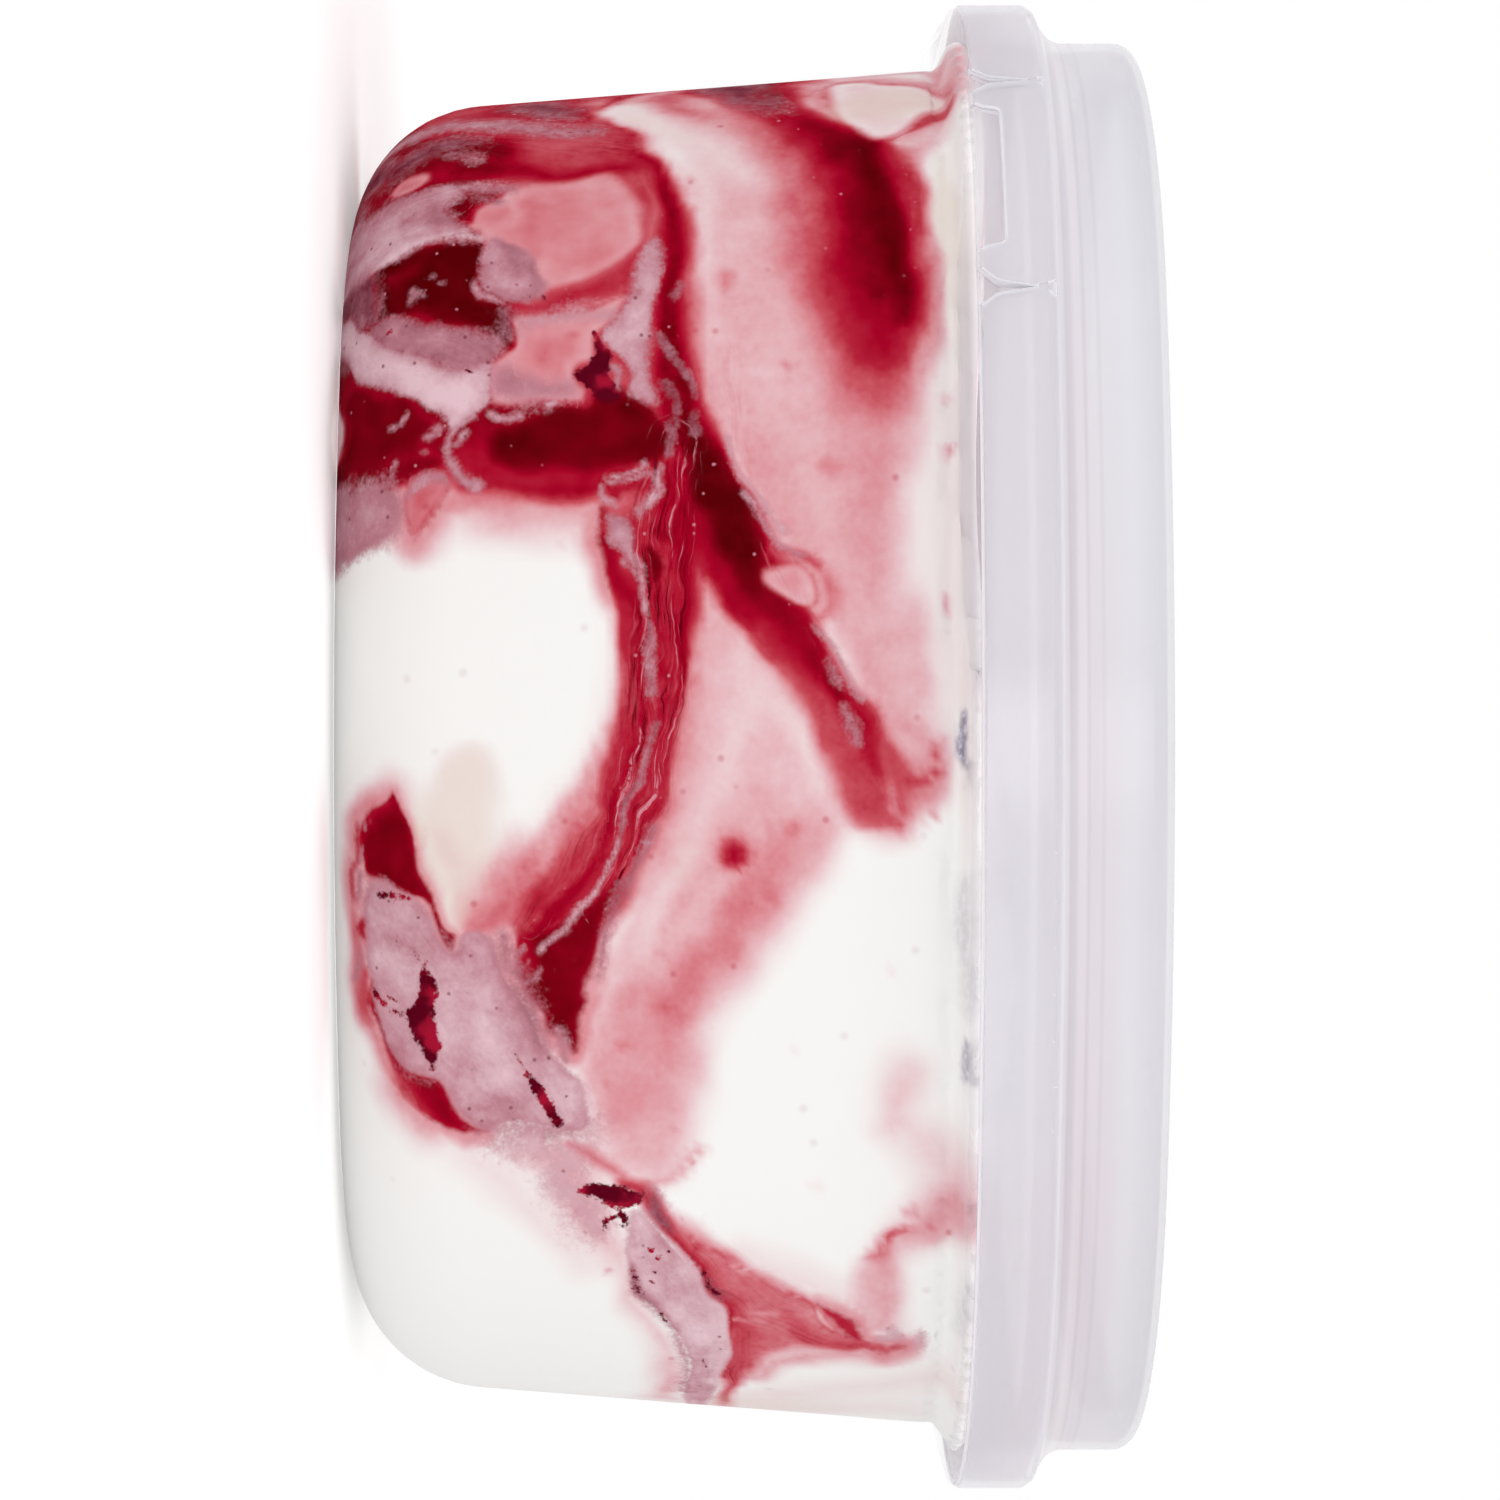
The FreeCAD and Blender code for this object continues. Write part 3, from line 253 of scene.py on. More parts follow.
# sauce lying against the wall with crisper edges: (level, softness, points)
sauce = [
    (0.21, 1.8, [(-72.4, 61), (-72.6, 63.6), (-74.4, 66), (-76.6, 68), (-79, 70.2), (-81, 69.4),
        (-84, 67.4), (-86.4, 64.6), (-88.4, 61), (-88.8, 58), (-85.6, 56.6), (-81.4, 56.8), (-77.6, 57.8),
        (-74.6, 59.4)]),
    # the lump of the left side, the ring round it and the pink beside the ring
    (0.46, 2.2, [(-68.8, 30), (-68.2, 32.8), (-65, 34.4), (-61.5, 35.6), (-58, 35.7), (-55.4, 34),
        (-53.2, 31), (-51.8, 27.6), (-51, 24), (-52, 19.6), (-58, 17.6), (-62, 16), (-66.6, 18),
        (-67.8, 20.6), (-67.6, 25)]),
    (0.52, 5, [(-64.6, 22.6, 1.8), (-61, 21.6, 1.6)]), (0.36, 3, [(-65, 20, 0.8), (-62, 20.4, 1)]),
    (0.42, 5, [(-61, 33, 1), (-57, 33.6, 0.8)]), (0.50, 4, [(-59, 28, 1), (-56.4, 28.6, 1)]),
    (0.60, 1.6, [(-68, 34.8, 0.3), (-63.6, 36.3, 0.5), (-58.6, 36.5, 0.4), (-55.6, 35.4, 0.5)]),
    (0.75, 1.6, [(-56.6, 35.6, 0.4), (-53.6, 33, 1.1), (-51.6, 29.2, 1.1), (-50.3, 25, 0.9),
        (-49.8, 21.4, 0.8)]),
    (0.56, 1.4, [(-51.2, 33, 0.3), (-50.4, 30, 0.5), (-49.6, 26.6, 0.4)]),
    (0.44, 1.4, [(-51, 33.6), (-47.2, 32), (-45.6, 30), (-43.6, 29.8), (-42.6, 28.4), (-41, 28.6),
        (-39.4, 29.5), (-38, 29), (-38, 26), (-38.4, 22.5), (-38.8, 19), (-42, 18.6), (-44.6, 20),
        (-46.6, 20.9), (-48, 20.3), (-48.8, 22), (-49.4, 26), (-49.8, 30)]),
    (0.60, 2.6, [(-44.4, 25.2, 0.5), (-43.9, 24, 0.3)]), (0.50, 3, [(-44.6, 26.4, 1.2)]),
    (0.54, 1.2, [(-46.2, 27.4, 0.3)]),
    (0.48, 1.2, [(-62.8, 18.6, 1.2), (-61.6, 17, 1.1), (-61, 15.8, 0.6)]),
    (0.50, 1, [(-63.4, 18, 0.4), (-62, 16.6, 0.3)]),
    (0.50, 1.2, [(-72, 10.6), (-70.8, 10.8), (-69.6, 8.6), (-69.6, 6), (-71, 4.8), (-73.2, 6),
        (-72.8, 8.6)]),
    # the dark under the lump and the dark beside it
    (1.00, 0.8, [(-59.2, 17.2), (-56, 17), (-53, 17.2), (-51.4, 17.6), (-50.2, 19.6), (-48.4, 20.4),
        (-46.4, 20.8), (-45.2, 20.4), (-46.8, 18), (-47.8, 15), (-48.8, 12), (-50.2, 9.5), (-50.6, 6),
        (-50, 3.5), (-54, 4), (-58.6, 3.2), (-58.9, 8), (-59, 13)]),
    (0.87, 3, [(-56.4, 9, 0.3), (-55.6, 6.4, 0.8)]),
    (0.92, 1, [(-67.4, 19), (-65.6, 18.6), (-64, 16.6), (-61.6, 16), (-62, 13.8), (-64, 12.3),
        (-66.4, 13.4), (-67.4, 16)]),
    (0.98, 1.2, [(-38.6, 36), (-36, 37.6), (-33.6, 39.5), (-31.6, 38), (-31.4, 34), (-30, 31), (-29, 28),
        (-29.4, 23), (-30.4, 19.8), (-32.6, 17.8), (-35, 18.4), (-36.4, 21), (-37.6, 24), (-38, 27),
        (-38, 29), (-40, 30), (-40, 33), (-39.4, 35)]),
    (0.84, 3, [(-30.4, 32, 0.8), (-29.8, 26, 0.8), (-30.2, 20, 1), (-32, 16, 1)]),
    (0.90, 4, [(-35, 32.6, 1.2), (-34, 28, 1.4)]),
    (0.82, 1.8, [(-30, 28, 0.4), (-30.2, 23, 0.7), (-31, 19.6, 0.8)]),
    (0.91, 0.9, [(-39.8, 9), (-38, 11), (-36.3, 12.4), (-34.4, 10.8), (-32.4, 13), (-30.8, 12.6),
        (-30.2, 10), (-30, 6), (-30.6, 1), (-31, -3), (-33, -9), (-36, -9), (-36.6, -2.4), (-38.4, -1.6),
        (-41, -3), (-43.4, -3), (-44, 0), (-41.8, 3.4), (-40.6, 6)]),
    (0.82, 3, [(-33, 11, 0.4), (-32, 5, 0.6), (-32.4, -1, 0.6)]),
    (0.26, 1.6, [(-44.5, -9), (-41.5, -4), (-38.8, -2.6), (-36.4, -4), (-36, -9)]),
    (0.57, 1.4, [(-30, 13.8), (-28, 13.2), (-26, 12.4), (-24.4, 11.4), (-23.4, 10.2), (-24.2, 9.2),
        (-26, 8.6), (-28.6, 9), (-30, 10)]),
    (0.42, 1.1, [(-19.5, 50.2), (-19.6, 52), (-18.4, 53.8), (-16.8, 54.9), (-15.4, 54.4), (-15.3, 52.6),
        (-16.2, 50.6), (-17.6, 49.1), (-19, 48.9)]),
    # streaks and islands along the arch
    (0.87, 1, [(-25.6, 30.8, 0.4), (-22.6, 31.1, 0.6), (-19.6, 32.2, 0.9), (-17, 33.8, 0.9),
        (-14, 34.7, 0.4), (-9, 35.5, 0.3), (-4, 35.5, 0.3), (0, 34.7, 0.4), (4, 33.2, 0.5), (8, 32, 0.5),
        (12, 30.3, 0.6), (16, 27.6, 0.8), (20, 24.4, 0.9)]),
    (0.88, 0.8, [(-14.6, 39.2, 0.3), (-12, 39.5, 0.6), (-9, 39.8, 0.6), (-6.4, 39.3, 0.3),
        (-4.4, 38.5, 0.15)]),
    (0.84, 0.8, [(-15.4, 36.8, 0.3), (-12, 37.2, 0.3), (-8, 37.7, 0.4), (-5, 38, 0.4), (-3.4, 37.3, 0.5),
        (0, 36.2, 0.4), (4, 35.6, 0.2), (8, 34.8, 0.2)]),
    (0.80, 0.9, [(-3, 38.6, 0.15), (2, 38.5, 0.3), (5, 37.9, 0.3), (9, 36.4, 0.3), (12, 35, 0.15)]),
    (0.98, 1.2, [(-21.4, 36.4, 0.4), (-19.6, 36.7, 0.8), (-17.8, 36.9, 0.3)]),
    (0.90, 1.2, [(-24, 37, 0.4), (-22, 39.6, 0.6), (-19, 39.8, 0.5)]),
    (0.80, 1, [(-29, 33.8, 0.8), (-27.6, 32.6, 0.8)]),
    (0.84, 0.9, [(11, 32.8, 0.2), (14, 33, 0.3), (17, 32, 0.8), (20, 30, 0.8)]),
    (0.93, 1, [(14.8, 32.8), (18, 32), (20.4, 31.2), (23, 30.3), (26, 29.4), (28, 29.5), (30, 28.6),
        (33.8, 27.8), (32.6, 26.4), (31.6, 25), (30, 24.4), (28, 22.8), (25, 21.8), (22, 21.4),
        (20.4, 22.6), (19.4, 25.4), (18.2, 28.4), (16.4, 31.2)]),
    (0.78, 2.6, [(20.6, 22.4, 0.8), (24, 22.8, 0.5)]), (0.90, 2, [(23, 28.6, 0.8), (27, 27.6, 0.5)]),
    (0.90, 0.7, [(4.9, 7.4), (7, 8.5), (9.5, 9.7), (13, 10.8), (16, 11.6), (18.4, 12.7), (20, 13.7),
        (20.6, 14.9), (21.4, 14.9), (22.9, 14.3), (22.4, 13.5), (20.8, 12.9), (19, 12.2), (17.4, 11),
        (16.9, 9.4), (16.2, 7.4), (15.4, 5), (15, 3.4), (13.4, 3), (12, 2.4), (10.5, 1.6), (9, 2.4),
        (7.8, 4), (6.4, 5.8)]),
    (0.80, 1.6, [(6.6, 6.6, 0.3), (8.6, 4, 0.5), (10.6, 2.6, 0.3)]),
    (0.66, 1.4, [(9.6, 1.4, 0.5), (13, 1.8, 0.6), (15, 0.4, 0.7), (17.6, 0.8, 0.4)]),
    (0.88, 0.8, [(43.5, 18.2), (43.9, 16), (44.1, 14.9), (42.6, 12.8), (41.2, 10.6), (39.6, 9.4), (38, 8),
        (36, 6.6), (33, 5.2), (30, 3.7), (29.2, 4.5), (32, 5.5), (34.6, 7.1), (36.4, 8.4), (37.3, 10.2),
        (37.8, 12.4), (39.8, 13.9), (42, 15.1), (43.2, 16.4)]),
    (0.74, 2, [(41.4, 11.6, 0.4), (38.8, 8.8, 0.5)]),
    (0.76, 0.9, [(20.6, 2.6, 0.6), (21.6, 2.2, 0.6), (22.4, 3, 0.2)]),
    (0.72, 1.2, [(27.6, 4.4, 0.5), (29.6, 3.6, 0.5)]),
    # the fan's darkest streak
    (0.76, 1.2, [(64.5, 54.9, 0.3), (66, 57, 0.7), (68, 58.5, 0.9), (69.8, 60.2, 0.4)]),
    (0.63, 1.2, [(69.8, 60, 0.6), (71, 61.8, 0.7), (71.2, 63.4, 0.5), (70.4, 64.4, 0.15)]),
    (0.37, 0.9, [(65, 54.7, 0.25), (66.4, 55.6, 0.5), (68, 56.8, 0.25)]),
]

# frosty smears: (tone, softness, points)
frost = [
    # left end: greyed strips
    (0.10, 5, [(-95, 44, 3), (-90, 46, 3), (-86, 46.4, 2), (-82, 49.6, 1)]),
    (0.15, 5, [(-90, 22, 2.4), (-87, 24, 2.4), (-85, 25.6, 1.2)]),
    (0.50, 3, [(-78.2, 29, 0.8), (-79, 25, 1.1), (-81, 20.6, 1.4), (-83, 15, 1.5), (-85, 9, 1.7),
        (-88, 3, 2)]),
    (0.72, 3, [(-86, 7.6, 0.8), (-89, 2, 1)]), (0.10, 4, [(-79, 3, 2), (-86, -2, 3), (-92, -6, 3)]),
    (0.05, 4, [(-78, 16, 0.6), (-78, 11, 1.4), (-77, 6, 2)]),
    (0.40, 2.4, [(-73.4, 15.6, 0.3), (-75.4, 13, 0.4)]),
    (0.45, 4, [(-78, -2, 0.6), (-74, -1, 0.4), (-70, 0.6, 0.3)]),
    (0.62, 4, [(-72, -5, 1), (-80, -9, 1.6)]),
    # over and down beside the ring
    (0.70, 0.9, [(-58.8, 36.8), (-57, 37.5), (-54, 37.3), (-50, 36.5), (-47, 36), (-44, 36.2), (-41, 36.4),
        (-39.2, 37), (-38.2, 36.6), (-39, 35.4), (-39.6, 34), (-41, 34.4), (-43, 33.8), (-44.5, 32.4),
        (-46, 30.9), (-48, 32.6), (-50.5, 33.6), (-53, 34.3), (-56, 35.6)]),
    (0.62, 2.4, [(-48, 33.4, 0.5), (-49, 29, 0.5), (-48.6, 25, 0.6), (-47.6, 22.2, 0.6)]),
    (0.52, 2.4, [(-40, 27.4, 1.1), (-39.8, 23.6, 1.2), (-41, 20.4, 1.6)]),
    (0.45, 1.2, [(-51.4, 34.6, 0.26)]),
    (0.62, 0.8, [(-42.4, 31.8, 0.4), (-41.4, 32.6, 0.5), (-40.2, 32.4, 0.3)]),
    (0.70, 0.8, [(-37.9, 25, 0.4), (-38.2, 26, 0.3)]),
    (0.62, 0.8, [(-37.2, 21.4, 0.6), (-36.6, 20, 0.5), (-37.4, 19, 0.4)]),
    # pebble with its clumps
    (0.52, 1, [(-59.8, 18.4), (-58.6, 21), (-57, 22.6), (-54, 23.6), (-52.4, 25), (-51.2, 24),
        (-50.8, 20.6), (-52, 18.4), (-54, 17.4), (-57, 17.1)]),
    (0.36, 2, [(-58, 20.4, 0.5), (-55, 21, 0.6)]),
    (0.62, 0.8, [(-53, 16.8, 0.4), (-52, 17.4, 0.5), (-51.2, 18.6, 0.4), (-50.6, 19.4, 0.3)]),
    (0.50, 1.6, [(-67.2, 20.4, 0.5), (-67.4, 17.4, 0.6), (-67.4, 14.4, 0.8)]),
    (0.30, 1.6, [(-65, 18.6, 0.5), (-66, 16.8, 0.3)]),
    # columns running down to the base
    (0.66, 1.3, [(-68, 14.4), (-66.4, 15.4), (-65.2, 13.4), (-64, 12.6), (-62, 14.4), (-60, 15.5),
        (-59, 8), (-58.7, 2), (-59.6, -3), (-62, -9), (-78, -9), (-74, -2), (-70.4, 1.5), (-69.4, 4),
        (-68.8, 8), (-69, 11.5)]),
    (0.34, 3, [(-64.4, 10.6, 0.8), (-62.4, 13, 0.6), (-64.6, 8, 0.4)]),
    (0.52, 4, [(-68, 8, 0.4), (-69, 1, 0.8), (-72, -5, 1)]),
    (0.55, 3, [(-64, 3, 0.6), (-65, -3, 1), (-68, -8, 1)]), (0.78, 3, [(-61.6, 6, 0.4), (-61.6, 0, 0.6)]),
    (1.00, 1.2, [(-59.7, 17.4, 0.26), (-59.7, 12, 0.5), (-59.5, 6, 0.7), (-58.8, 1.4, 0.7),
        (-59.6, -3, 0.8), (-63, -9, 1)]),
    (0.22, 2.4, [(-58.4, 3.2), (-54, 4), (-50.4, 3.4), (-52, -0.4), (-55.5, -4.4), (-60, -9),
        (-59.6, -4)]),
    (0.05, 3, [(-49, 20, 0.3), (-47.4, 20.4, 0.26)]),
    (0.84, 0.8, [(-43.5, 18.5), (-40, 18.8), (-38.6, 18.4), (-37, 16.4), (-36, 14.4), (-37.4, 12.6),
        (-39, 10.4), (-40, 8), (-41.4, 5.4), (-42.6, 3), (-44, 0.6), (-46.4, -2), (-48.5, -4.5), (-51, -9),
        (-60, -9), (-56, -4.6), (-52.4, -0.6), (-50, 1.6), (-48, 4), (-46, 7.6), (-44.6, 11),
        (-43.2, 15)]),
    (0.46, 1.2, [(-46.4, 19.4), (-44.8, 19.6), (-43.4, 18.6), (-42.6, 15), (-44, 11), (-45.6, 7),
        (-47.6, 3.6), (-49.6, 2.6), (-50.5, 5), (-50.2, 8), (-48.6, 10.4), (-48.6, 12), (-47.6, 14),
        (-47, 17)]),
    (0.66, 2, [(-42.4, 18.4, 0.6), (-43, 14, 0.5)]),
    (1.0, 2.4, [(-39.6, 15.4, 0.8), (-42.6, 8.6, 0.8), (-47, 2, 0.8), (-52, -4, 0.8)]),
    (0.15, 2, [(-46.6, -2.4, 0.5), (-50, -7, 0.8)]),
    # froth between the darks
    (0.62, 0.9, [(-37.4, 17, 0.4), (-36.2, 14.8, 0.5), (-34, 13.8, 0.4), (-31.8, 14.2, 0.5),
        (-30, 16, 0.7), (-28.8, 17.4, 0.8)]),
    (0.62, 0.9, [(-35, 16, 0.5), (-33.8, 15.2, 0.4)]), (0.55, 0.8, [(-36, 12.6, 0.3), (-35, 11.2, 0.3)]),
    (0.50, 0.8, [(-37.6, 8.8, 0.3), (-37.3, 8.2, 0.26)]),
    (0.50, 0.8, [(-36.9, 7.2, 0.26), (-36.8, 6.2, 0.26)]), (0.5, 0.8, [(-33.2, 10.8, 0.26)]),
    (0.5, 0.8, [(-32, 7.6, 0.3), (-31.2, 7, 0.26)]), (0.5, 0.8, [(-31.4, 5.4, 0.26)]),
    (0.60, 0.9, [(-30, 13.4, 0.4), (-30, 11, 0.5), (-28.6, 9.4, 0.4)]),
    (0.62, 1.2, [(-29.4, 6.6, 0.4), (-27.6, 7.4, 0.5), (-26, 6.4, 0.3)]),
    (0.52, 2.2, [(-30.4, 7), (-26, 8.4), (-23.2, 6), (-22, 0), (-22, -9), (-31, -9), (-31, 0)]),
    (0.66, 3, [(-25, 5, 0.4), (-24.6, -4, 0.6)]),
    # wisps over the dark of the second band
    (0.22, 0.9, [(-46, 36.8, 0.26), (-43.6, 38.6, 0.26), (-41.4, 40.2, 0.26), (-38.6, 41.4, 0.26)]),
    (0.2, 0.9, [(-40, 37.8, 0.26), (-38, 39, 0.26), (-35.8, 39.4, 0.26)]),
    (0.2, 0.9, [(-36.6, 41.4, 0.26), (-34.8, 41.4, 0.26)]),
    (0.24, 0.9, [(-36, 38.2, 0.26), (-34.4, 39, 0.26), (-32, 38.6, 0.26)]),
    (0.36, 1, [(-51.8, 40, 0.26), (-50.8, 39.2, 0.26)]),
    # curls beside the dark and the frosty left of the arch
    (0.70, 0.9, [(-31, 37.6, 0.3), (-29.8, 37, 0.5), (-28, 37, 0.4), (-26.6, 36.2, 0.4),
        (-25.8, 35.4, 0.3)]),
    (0.66, 0.8, [(-31.4, 35.4, 0.26), (-30, 33.8, 0.3), (-29.9, 31.8, 0.26)]),
    (0.60, 0.8, [(-30.4, 36, 0.26), (-29.2, 33.8, 0.26), (-29.2, 32, 0.26)]),
    (0.55, 0.9, [(-28.8, 31, 0.3), (-27.2, 30.8, 0.3), (-26.4, 32.4, 0.26)]),
    (0.56, 0.8, [(-25.5, 31.6), (-24, 31.4), (-22.4, 31.7), (-21.4, 33), (-20.4, 34), (-19.2, 34.9),
        (-19.8, 35.5), (-21, 34.7), (-23, 34.6), (-25, 34)]),
    (0.62, 0.7, [(-20, 33.6, 0.26), (-18.9, 35, 0.26), (-17, 35.3, 0.26), (-14, 35.7, 0.26)]),
    (0.40, 0.8, [(-13, 36, 0.3), (-9, 36.5, 0.3), (-5.6, 36.8, 0.3)]),
    (0.40, 0.8, [(-2.6, 36.7, 0.3), (2, 35.5, 0.3), (6, 34.1, 0.3), (10, 32.8, 0.3)]),
    (0.84, 0.7, [(10, 32.7, 0.26), (12.4, 31.9, 0.3), (15, 31, 0.3), (16.8, 30, 0.3), (18, 28.5, 0.26),
        (19.8, 26.8, 0.3), (21, 25.7, 0.3), (23, 24.2, 0.26)]),
    (0.34, 1.4, [(15.4, 33.4, 0.26), (18, 32.4, 0.26), (21, 31.7, 0.26), (25, 30.4, 0.26)]),
    (0.34, 1.2, [(9, 36.9, 0.26), (13, 35.2, 0.26), (16, 33.6, 0.26)]),
    (0.50, 1.2, [(-4, 57.8, 0.3), (-2.2, 58.4, 0.35), (-0.8, 58.6, 0.3)]),
    (0.44, 1.2, [(-9, 55.7, 0.3), (-7.2, 56.8, 0.3)]),
    (0.58, 1, [(-12.6, 54.6, 0.26), (-10.4, 56.4, 0.26), (-8, 57.8, 0.3), (-5, 59.6, 0.26)]),
    (0.56, 1, [(-27.4, 46.6, 0.26), (-25, 48.4, 0.3), (-22, 50.4, 0.3), (-20.4, 52.6, 0.26)]),
    (0.7, 1, [(-34, 44.6, 0.26), (-30, 46.2, 0.26), (-26, 49, 0.3), (-23.4, 51.4, 0.26)]),
    # the great frosty mass on the right
    (0.64, 0.8, [(24.5, 20.3), (26, 20.9), (29, 22.5), (31, 23.7), (33, 24.9), (35, 26.3), (37.5, 28.4),
        (40, 29), (42, 29.6), (43.4, 28.2), (42.8, 25), (42.6, 22), (43, 19.6), (43.6, 18.2), (43.2, 16.4),
        (42, 15.2), (40, 14), (38, 12.6), (37.4, 11), (37.2, 9), (36, 7.6), (34, 6.2), (31, 4.8),
        (28, 4.4), (25, 3.4), (22, 3.2), (19, 2.2), (16, 3), (15.4, 5.5), (16.4, 8), (17.4, 10.2),
        (19.4, 12), (21.5, 13), (23, 13.8), (22.8, 15), (21, 15.8), (20.6, 17.6), (22, 19.2)]),
    (0.26, 3.4, [(26.6, 21.4, 0.5), (29, 22.6, 0.8), (33, 24.6, 0.6)]),
    (0.50, 5, [(30, 20, 1), (34, 22, 1)]), (0.50, 4, [(35, 14.6, 0.8), (36, 10, 0.8), (32.6, 7.6, 0.6)]),
    (0.46, 4, [(40, 22.6, 1.6), (41.6, 18.6, 1.8)]), (0.55, 4, [(24, 17, 0.6), (21, 8, 0.6)]),
    (0.80, 3, [(38.6, 27.6, 0.6), (41.6, 27.8, 0.5)]),
    (0.40, 2.4, [(24, 12.6, 0.4), (22.4, 9, 0.5), (22, 6, 0.5)]),
    (0.36, 1.4, [(41, 21.6, 0.26), (42.6, 19.8, 0.26), (42.6, 17.8, 0.26)]),
    (0.36, 1.4, [(39.6, 20.4, 0.26), (41, 18.8, 0.26), (41, 16.8, 0.26)]),
    (0.36, 1.4, [(43.4, 23, 0.26), (44.4, 21, 0.26)]), (0.86, 3, [(26, 8, 0.6), (24, 5.6, 0.5)]),
    (0.84, 3, [(28, 17.6, 0.6), (32, 18.4, 0.8), (37, 19.6, 0.6)]),
    (0.62, 5, [(42.6, 27.6, 1.8), (43.2, 24, 2.4), (43.4, 20.6, 1.6)]),
    (0.78, 4, [(44.6, 21, 0.4), (46.6, 27, 0.8), (49, 26, 1.2), (54.6, 30, 1.6)]),
    (0.30, 1.6, [(44, 25, 0.3), (44.8, 24.6, 0.26)]),
    (0.30, 2, [(21, 19.8, 0.3), (23.6, 20.6, 0.5), (25.6, 22.4, 0.3)]),
    (0.60, 0.8, [(22.6, 22.4, 0.26), (23.8, 20.8, 0.26)]), (0.60, 0.8, [(25, 24, 0.26), (26, 22.4, 0.26)]),
    (0.40, 1.2, [(31.8, 26.4, 0.3), (34.6, 26.6, 0.4)]), (0.56, 0.8, [(9, 3.1, 0.3)]),
    (0.56, 0.8, [(11.8, 2.6, 0.26), (13.4, 2.2, 0.26)]), (0.5, 1, [(15, 2.4, 0.3), (17, 1.6, 0.3)]),
    (0.48, 2, [(24, 2, 0.5), (27.4, 0.6, 0.4)]),
    # leaf
    (0.80, 0.8, [(52.2, 34), (53, 35.4), (55, 37), (57.5, 38.8), (60, 40.8), (62, 42), (64.5, 43.3),
        (67, 44.4), (70, 44.9), (75, 44.9), (80, 44.1), (85, 43), (90, 42.6), (98, 42.4), (98, 40),
        (90, 40), (84, 40), (78, 40.4), (73, 40.2), (69, 38.6), (66, 36), (64, 34.2), (61, 33.6),
        (57, 33.8), (54, 33.6)]),
    (0.46, 3, [(56.4, 36.6, 0.6), (60, 37.6, 0.9), (64.6, 38.2, 0.6)]),
    (0.60, 3, [(62, 39.4, 0.6), (67, 41.6, 0.5)]),
    (0.48, 3, [(74, 42.4, 0.3), (80, 42.2, 0.5), (90, 41.4, 0.6)]),
    (0.22, 1.6, [(60, 34.3, 0.26), (63.6, 35, 0.5), (66.6, 36.8, 0.3), (69.6, 38.8, 0.3)]),
    (0.40, 2, [(70, 39, 0.26), (75, 39.8, 0.3), (86, 40, 0.4)]),
    (0.92, 0.9, [(52.6, 35.6, 0.26), (56, 38.2, 0.35), (60, 41, 0.4), (64.6, 43.3, 0.4), (69, 44.5, 0.35),
        (75, 44.4, 0.26), (82, 43.2, 0.26)]),
    (0.12, 2.4, [(50.6, 36.4, 0.4), (52.4, 36.9, 0.9), (54.4, 38.4, 0.5)]),
    (0.20, 2, [(61.6, 43, 0.3), (64, 44.2, 0.3)]),
    (0.80, 1.4, [(67, 63.6, 0.3), (68.6, 63.9, 0.8), (69.2, 62.8, 0.5)]),
    (0.75, 1.6, [(67.6, 66.6, 0.26), (70, 66.4, 0.3)]),
    (0.55, 1, [(-52.8, 9.4, 0.26), (-52.2, 10, 0.3), (-51.9, 9.2, 0.26)]),
    (0.40, 0.8, [(-53.4, 12.6, 0.26)]), (0.40, 0.8, [(-54.7, 11.8, 0.26)]),
    (0.45, 0.8, [(-52.6, 1.4, 0.26), (-51.6, 1.8, 0.26)]),
]

